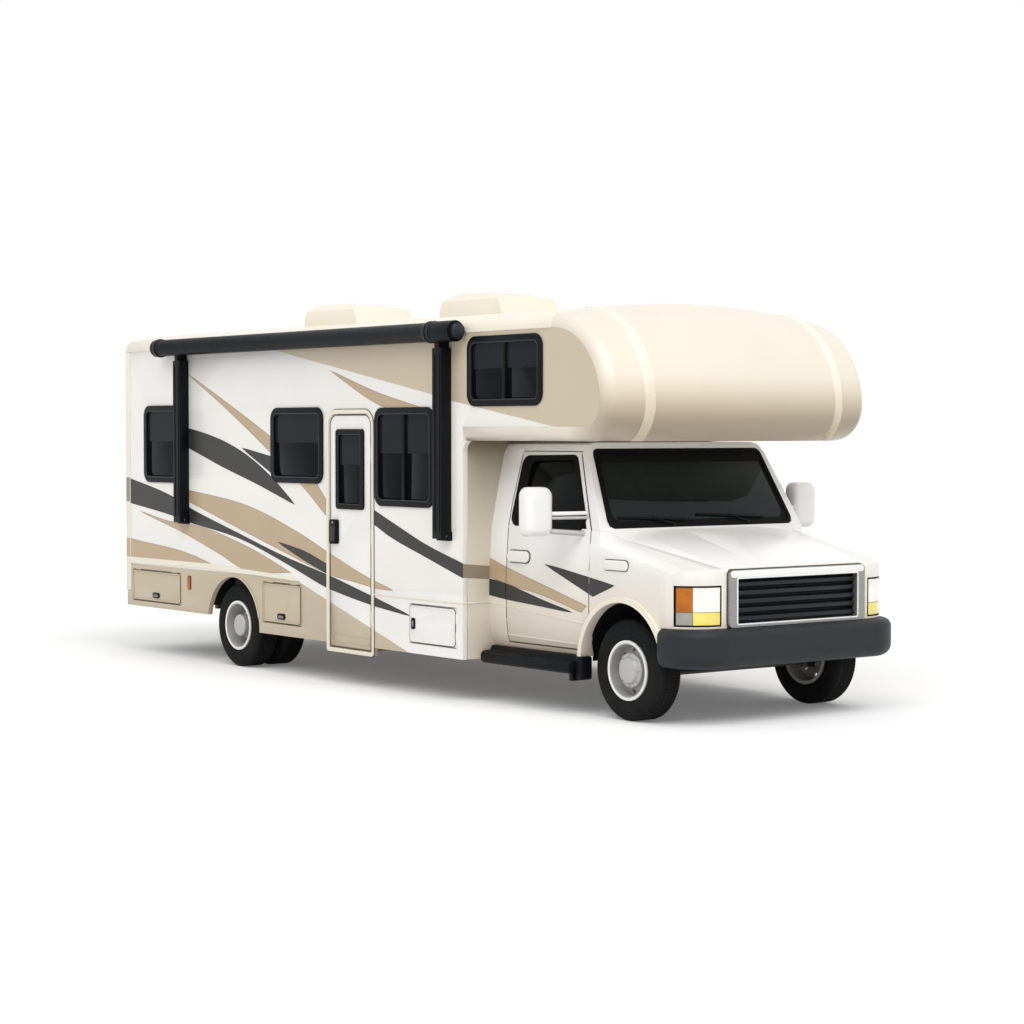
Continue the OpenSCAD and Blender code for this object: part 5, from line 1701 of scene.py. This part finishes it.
@dataclass
class Wheel:
    """A tyre with tread and a dished rim with hub, ring and nuts."""

    node: str
    body: str
    centre: Point
    side: int
    offsets: tuple[float, ...]
    hub: float
    hub_rise: float
    axle_z: float = 0.361
    blocks: int = 96
    nuts: int = 8

    def build(self) -> None:
        """Makes the tyre, the rim and the hub."""
        tag = f"{self.node}_{SIDES[self.side]}"
        self._tyre(tag)
        # The rim's dish carries painted shade.
        eased_node(f"rim_{tag}", self.body, DISH_PAINTED_SHADE, 0.003)
        self._ring(tag)
        self._hub(tag)

    def _at(self, offset: float = 0.0) -> Vec:
        """The wheel's centre, or that of a twin further in."""
        return (self.centre[0], self.side * (self.centre[1] - offset), self.axle_z)

    def _tyre(self, tag: str) -> None:
        """Carcass with ribbed sidewalls, and a ring of tread blocks.

        Args:
            tag: Name of the wheel's place.
        """
        half = [(0.3565, 0.0), (0.3565, 0.081), (0.352, 0.088), (0.343, 0.0965), (0.3395, 0.0995),
                (0.333, 0.1025), (0.318, 0.1075), (0.3, 0.1095), (0.297, 0.111), (0.285, 0.111),
                (0.282, 0.1098), (0.252, 0.1085), (0.249, 0.1095), (0.24, 0.1085), (0.228, 0.105),
                (0.219, 0.098), (0.212, 0.088), (0.2055, 0.08)]
        liner = [(0.212, 0.07), (0.3, 0.09), (0.335, 0.06)]
        profile = half + liner + [(r, -y) for r, y in (half[1:] + liner)[::-1]]
        carcasses, treads = [], []
        for offset in self.offsets:
            at = self._at(offset)
            carcasses.append(lathe("carcass", profile, at, self.side, 96))
            rows = [block("row", (a - 0.0095, y - 0.018, 0.35), (a + 0.0095, y + 0.018, 0.36))
                    for a, y in ((0.0, -0.061), (0.004, -0.0205), (-0.004, 0.0205), (0.0, 0.061))]
            turn = (0, math.tau / self.blocks, 0)
            treads.append(repeated("tread", joined("tread", rows), RUBBER, self.blocks, turn=turn, origin=at))
        tyre = shaded(joined(f"tyre_{tag}.carcass", carcasses), 28)
        carry(tyre, self.body, RUBBER, f"tyre_{tag}")
        carry(joined(f"tyre_{tag}.tread", treads), self.body, RUBBER)

    def _ring(self, tag: str) -> None:
        """The pale ring on the rim's outer lip.

        Args:
            tag: Name of the wheel's place.
        """
        section = [(0.192, 0.088), (0.194, 0.106), (0.2, 0.1105), (0.209, 0.1105), (0.2145, 0.107),
                   (0.2155, 0.096), (0.2, 0.088)]
        ring = lathe(f"rim_{tag}.ring", section, self._at(), self.side, 96)
        carry(shaded(ring, 40), self.body, RING)

    def _hub(self, tag: str) -> None:
        """The stepped hub and its ring of nuts.

        Args:
            tag: Name of the wheel's place.
        """
        base, top = self.hub, self.hub + self.hub_rise
        hub = lathe(f"rim_{tag}.hub", [
            (0.0, base - 0.01), (0.0, top), (0.07, top), (0.086, top - 0.003), (0.094, top - 0.011),
            (0.096, base + 0.018), (0.101, base + 0.013), (0.118, base + 0.011), (0.124, base + 0.005),
            (0.126, base - 0.004), (0.126, base - 0.02)], self._at(), self.side, 72)
        carry(shaded(hub, 30), self.body, SILVER)
        nut = lathe("nut", [(0.0, 0.0), (0.0, 0.008), (0.005, 0.008), (0.0065, 0.005), (0.0065, 0.0)],
                    (0, 0, 0.1095), self.side, 6)
        x, y, z = self._at()
        nuts = repeated(f"rim_{tag}.nuts", nut, DISH_PAINTED_SHADE, self.nuts, turn=(0, math.tau / self.nuts, 0),
                        origin=(x, y + self.side * (base + 0.01), z))
        carry(nuts, self.body, DISH_PAINTED_SHADE)


@dataclass
class Interior:
    """Cab seats, dashboard and steering wheel."""

    seat_y: float = 0.43
    seat_x: float = 1.79
    floor_z: float = 0.815
    voxel: float = 0.016
    swell: float = 0.014
    pressure: float = 4.0
    frames: int = 20

    def build(self) -> None:
        """Makes the cab's inside."""
        eased_node("dashboard", "vehicle", DASH, 0.03, 4)
        eased_node("steering_wheel", "steering_wheel", BLACK, 0.002)
        self._dash_fittings()
        pads = {name: self._pad(name, size, place) for name, size, place in self._shapes()}
        for side, tag in SIDES.items():
            for name, mesh in pads.items():
                copy = in_scene(f"seat_{name}_{tag}", mesh.copy())
                copy.data.transform(Matrix.Translation((0, side * self.seat_y, 0)))
                carry(copy, "vehicle", FABRIC, *(["seats"] if name == "cushion" else []))
            low, x = self.floor_z, self.seat_x
            base = block(f"seat_base_{tag}", (x + 0.06, side * self.seat_y - 0.19, low),
                         (x + 0.46, side * self.seat_y + 0.19, low + 0.192))
            carry(eased(base, 0.02, 3), "vehicle", DASH)

    def _shapes(self) -> list[tuple[str, Vec, Matrix]]:
        """The pads of a seat at mid width.

        Returns:
            Name, size and place of each pad.
        """
        x, z = self.seat_x, self.floor_z
        lean = Matrix.Translation((x + 0.02, 0, z + 0.3)) @ Matrix.Rotation(math.radians(-12), 4, "Y")
        return [
            ("cushion", (0.54, 0.52, 0.15), Matrix.Translation((x + 0.27, 0, z + 0.265))),
            ("back", (0.13, 0.50, 0.61), lean @ Matrix.Translation((0.065, 0, 0.305))),
            ("headrest", (0.095, 0.26, 0.17), lean @ Matrix.Translation((0.0675, 0, 0.677))),
        ]

    def _pad(self, name: str, size: Vec, place: Matrix) -> bpy.types.Mesh:
        """One pad, blown up from a smaller block by a cloth simulation.

        Args:
            name: Name of the pad.
            size: Its size once it has swelled.
            place: Where its middle lies.

        Returns:
            The finished mesh.
        """
        cut = 2 * self.swell
        half = [(s - cut) / 2 for s in size]
        obj = eased(block(name, [-h for h in half], half), 0.035, 4)
        self._remesh(obj)
        self._inflate(obj)
        smooth = obj.modifiers.new("smooth", "SUBSURF")
        smooth.levels = smooth.render_levels = 1
        settle(obj)
        obj.data.transform(place)
        obj.data.shade_smooth()
        mesh = obj.data.copy()
        bpy.data.objects.remove(obj)
        return mesh

    def _remesh(self, obj: Piece) -> None:
        """Turns a block into an even net of small faces.

        Args:
            obj: The block.
        """
        net = obj.modifiers.new("net", "REMESH")
        net.mode = "VOXEL"
        net.voxel_size = self.voxel
        settle(obj)

    def _inflate(self, obj: Piece) -> None:
        """Swells a pad with cloth under pressure and keeps each point within the cap.

        Args:
            obj: The pad.
        """
        scene = bpy.context.scene
        start = [v.co.copy() for v in obj.data.vertices]
        cloth = obj.modifiers.new("cloth", "CLOTH")
        cloth.settings.use_pressure = True
        cloth.settings.uniform_pressure_force = self.pressure
        cloth.settings.effector_weights.gravity = 0.0
        cloth.point_cache.frame_start, cloth.point_cache.frame_end = 1, self.frames
        for number in range(1, self.frames + 1):
            scene.frame_set(number)
        settle(obj)
        scene.frame_set(1)
        for vert, first in zip(obj.data.vertices, start):
            move = vert.co - first
            if move.length > self.swell:
                vert.co = first + move.normalized() * self.swell

    @staticmethod
    def _dash_fittings() -> None:
        """The instrument hood and the vents."""
        hood = eased(block("instrument_hood", (2.47, 0.22, 1.262), (2.62, 0.60, 1.345)), 0.03, 4)
        carry(hood, "vehicle", DASH)
        slat = eased(block("slat", (-0.004, -0.06, -0.003), (0.004, 0.06, 0.003)), 0.002)
        vents = [repeated("vent", in_scene("v", slat.data.copy()), BLACK, 4, (0.0005, 0, 0.014),
                          origin=(2.452, y, 1.18)) for y in (-0.72, -0.1, 0.1, 0.8)]
        bpy.data.objects.remove(slat)
        carry(joined("dash_vents", vents), "vehicle", BLACK)


@dataclass
class Chassis:
    """Frame, driveline and the other parts underneath."""

    rows: tuple[tuple[str, str, Finish, float], ...] = (
        ("frame_rails", "vehicle", STEEL, 0.003),
        ("engine", "vehicle", STEEL, 0.01),
        ("driveline", "vehicle", STEEL, 0.003),
        ("front_axle", "vehicle", STEEL, 0.003),
        ("springs", "vehicle", STEEL, 0.0),
        ("exhaust", "vehicle", METAL, 0.0),
        ("tanks", "vehicle", SEAL, 0.02),
        ("knuckle_left", "knuckle_left", STEEL, 0.003),
        ("knuckle_right", "knuckle_right", STEEL, 0.003))

    def build(self) -> None:
        """Rounds and dresses the pieces underneath and the running boards."""
        for node, body, finish, width in self.rows:
            eased_node(node, body, finish, width)
        eased_node("running_boards", "vehicle", BLACK, 0.012, 3)
        for side, tag in SIDES.items():
            rib = eased(block("rib", (1.53, -0.008, -0.002), (2.53, 0.008, 0.0045)), 0.003)
            carry(repeated(f"step_ribs_{tag}", rib, BLACK, 3, (0, side * 0.025, -0.002),
                           origin=(0, side * 1.03, 0.3965)), "vehicle", BLACK)
            ys = sorted((side * 0.945, side * 1.056))
            flap = block(f"step_end_{tag}", (2.578, ys[0], 0.262), (2.652, ys[1], 0.428))
            carry(eased(flap, 0.016, 3), "vehicle", BLACK)


@dataclass
class VinylStripes:
    """Swept stripes laid on the sides of the coach and the cab, cut round doors and windows."""

    proud: float = 0.0012
    layer: float = 0.0004
    edge: float = 0.005
    coach_reach: Point = (1.262, 1.3)
    cab_reach: Point = (1.0, 1.06)
    sand: tuple[Outline, ...] = (
        ((-1.55, 2.80), (-1.098, 2.723), (1.087, 2.342), (1.349, 2.289), (2.903, 2.044), (3.4, 1.97),
         (3.4, 3.0), (-1.55, 3.0)),
    )
    tan: tuple[Outline, ...] = (
        ((-0.353, 2.556), (0.529, 2.231), (1.007, 2.228), (0.36, 2.36)),
        ((-2.703, 2.579), (-1.272, 2.01), (-0.725, 1.768), (-0.41, 1.501), (-0.411, 1.374), (-0.726, 1.58),
         (-1.025, 1.74), (-1.273, 1.88), (-2.0, 2.25)),
        ((-2.714, 1.528), (-1.655, 1.412), (-0.828, 1.208), (-0.321, 1.045), (0.184, 0.893), (0.566, 0.804),
         (0.27, 0.815), (0.183, 0.827), (-0.321, 0.882), (-0.407, 0.896), (-1.157, 1.065), (-2.007, 1.266),
         (-2.715, 1.438)),
        ((-3.603, 1.315), (-3.031, 1.234), (-2.545, 1.214), (-1.657, 1.057), (-0.95, 0.87), (-1.703, 0.86),
         (-2.096, 0.969), (-2.828, 1.155), (-3.031, 1.198)),
        ((-3.85, 1.057), (-2.325, 0.888), (-2.2, 0.84), (-3.85, 0.84)),
    )
    charcoal: tuple[Outline, ...] = (
        ((-2.86, 2.1), (-2.727, 2.086), (-2.087, 1.975), (-1.651, 1.843), (-1.234, 1.652), (-0.888, 1.446),
         (-1.48, 1.605), (-2.089, 1.752), (-2.728, 1.924), (-2.86, 1.955)),
        ((-1.745, 1.912), (-1.249, 1.838), (-1.1, 1.64)),
        ((-3.85, 1.622), (-3.01, 1.468), (-2.734, 1.384), (-1.785, 1.162), (-1.077, 1.004), (-0.332, 0.866),
         (0.222, 0.749), (0.814, 0.618), (0.269, 0.675), (-0.333, 0.766), (-0.399, 0.779), (-1.077, 0.962),
         (-1.785, 1.129), (-2.735, 1.253), (-3.012, 1.299), (-3.85, 1.398)),
        ((-1.154, 1.119), (-0.91, 1.086), (-0.71, 1.052), (-0.405, 0.97), (-0.405, 0.897), (-0.75, 0.99)),
        ((0.272, 1.438), (0.673, 1.296), (1.018, 1.18), (1.52, 1.05), (1.52, 0.948), (1.018, 1.09),
         (0.526, 1.232), (0.272, 1.334)),
    )
    cab_tan: tuple[Outline, ...] = (
        ((1.48, 1.096), (1.709, 1.03), (2.174, 0.917), (2.665, 0.797), (2.608, 0.75), (2.174, 0.845),
         (1.696, 0.913), (1.48, 0.957)),
    )
    cab_charcoal: tuple[Outline, ...] = (
        ((1.48, 0.933), (1.678, 0.911), (2.174, 0.804), (2.504, 0.741), (2.109, 0.768), (1.695, 0.796),
         (1.48, 0.818)),
        ((2.174, 1.078), (2.979, 0.961), (2.744, 0.874)),
    )
    left_tips: dict[Point, Point] = field(default_factory=lambda: {
        (-0.41, 1.501): (-0.14, 1.19), (-2.715, 1.438): (-3.06, 1.53), (-0.405, 0.97): (-0.1, 0.88),
        (0.272, 1.334): (-0.1, 1.49)})
    hinges: dict[str, tuple[Vec, Vec]] = field(default_factory=lambda: {
        "cab_front": ((2.6, -2.0, 0.0), (2.7035, 2.0, 2.0)),
        "cab_door_right": ((2.6945, -2.0, 0.0), (2.8, 2.0, 2.0)),
        "cab_door_left": ((2.6945, -2.0, 0.0), (2.8, 2.0, 2.0)),
        "skirts": ((0.2, -2.0, 0.0), (0.281, 0.0, 2.19)),
        "wall_right": ((0.2, -2.0, 0.0), (0.281, 0.0, 2.19)),
        "entry_door": ((0.2565, -2.0, 0.0), (0.3, 0.0, 2.3))})

    def build(self) -> None:
        """Lays every stripe on each panel that it crosses, on both sides."""
        for side, tag in SIDES.items():
            door = "entry_door" if side == RIGHT else "bin_door_rear_left"
            coach = {f"wall_{tag}": "vehicle", "skirts": "vehicle", door: door}
            cab = {"cab_shell": "vehicle", "cab_front": "vehicle", f"cab_door_{tag}": f"cab_door_{tag}"}
            for node, body in coach.items():
                self._lay(node, body, side, self.sand, SAND, (*self.coach_reach, self.proud - self.layer))
            tips = self.left_tips if side == LEFT else {}
            tan, charcoal = ([[q for p in o for q in ((p, tips[p]) if p in tips else (p,))] for o in outlines]
                             for outlines in (self.tan, self.charcoal))
            self._colours(coach, side, tan, charcoal, self.coach_reach)
            self._colours(cab, side, self.cab_tan, self.cab_charcoal, self.cab_reach)
            self._wraps(side, tag)

    def _colours(self, hosts: dict[str, str], side: int, tan: Sequence[Outline], charcoal: Sequence[Outline],
                 reach: Point) -> None:
        """Lays both colours, each over a thin darker edge.

        Args:
            hosts: Bodies of the panels, by CAD node.
            side: RIGHT or LEFT.
            tan: Outlines of the tan stripes.
            charcoal: Outlines of the charcoal stripes.
            reach: Where the vinyl starts and may end from mid width, in metres.
        """
        tan, charcoal = [swept(o) for o in tan], [swept(o) for o in charcoal]
        layers = [(TAN_EDGE, [grown(o, self.edge) for o in tan]), (TAN, tan),
                  (DARK_EDGE, [grown(o, self.edge) for o in charcoal]), (CHARCOAL, charcoal)]
        for level, (finish, outlines) in enumerate(layers):
            for node, body in hosts.items():
                self._lay(node, body, side, outlines, finish, (*reach, self.proud + level * self.layer))

    @staticmethod
    def _wraps(side: int, tag: str) -> None:
        """Stripes that turn over the rear corner moulding and onto the coach front.

        Args:
            side: RIGHT or LEFT.
            tag: Name of the side.
        """
        def ahead(y: float, z: float, d: float) -> Vec:
            """Puts a point on the coach's front wall."""
            return (COACH_FRONT + d, side * y, z)

        front = [(HALF_WIDTH, 0.952), (HALF_WIDTH, 1.055), (1.0, 1.03), (1.0, 0.93)]
        carry(plate(f"front_wrap_{tag}", front, -0.001, 0.0015, ahead), "vehicle", KHAKI)
        x0, x1 = COACH_REAR - 0.002, COACH_REAR + 0.07
        for name, finish, z0, z1 in (("dark", KHAKI, 1.40, 1.625), ("tan", TAN, 0.885, 1.058)):
            outline = box_outline(x0, z0, x1, z1)
            strip = plate(f"rear_wrap_{name}_{tag}", outline, 0.004, 0.0072, on_side(side))
            carry(strip, "vehicle", finish)

    def _lay(self, node: str, body: str, side: int, outlines: Sequence[Outline], finish: Finish,
             reach: Vec) -> None:
        """Lays the stripes of one colour on one panel, clear of its hinges.

        Args:
            node: The CAD node of the panel.
            body: The body that it moves with.
            side: RIGHT or LEFT.
            outlines: The stripes' outlines in X and Z.
            finish: Their colour.
            reach: Where the vinyl starts and may end from mid width, and how far it stands proud.
        """
        inner, outer, proud = reach
        vinyl = prism(f"{node}.{finish.name}_{SIDES[side]}", outlines, side * inner, side * outer)
        host = in_scene("host", merged_copy(node, (0.0, side * proud, 0.0)))
        cut_to(vinyl, host)
        if node in self.hinges and vinyl.data.polygons:
            cut_to(vinyl, block("hinge", *self.hinges[node]), "DIFFERENCE")
        if not vinyl.data.polygons:
            bpy.data.objects.remove(vinyl)
            return
        carry(shaded(vinyl), body, finish)


def main() -> None:
    """Builds the studio and every sub-assembly, then notes the sizes."""
    logging.basicConfig(level=logging.INFO, format="%(name)s: %(message)s")
    wheels = []
    for side, tag in SIDES.items():
        front, rear = (FRONT_AXLE_X, 0.872), (REAR_AXLE_X, 1.118)
        wheels.append(Wheel("front", f"front_wheel_{tag}", front, side, (0.0,), 0.07, 0.036))
        wheels.append(Wheel("rear", f"rear_wheels_{tag}", rear, side, (0.0, 0.278), -0.01, 0.106))
    parts = [Studio(), CoachShell(), CoachTrim(), EntryDoor(), StorageDoors(), Windows(), Awning(),
             RoofUnits(), CabBody(), Mirrors(), Nose(), RearEnd(), *wheels, Interior(), Chassis(),
             VinylStripes()]
    for part in parts:
        LOG.info("%s", type(part).__name__)
        part.build()


if __name__ == "__main__":
    main()
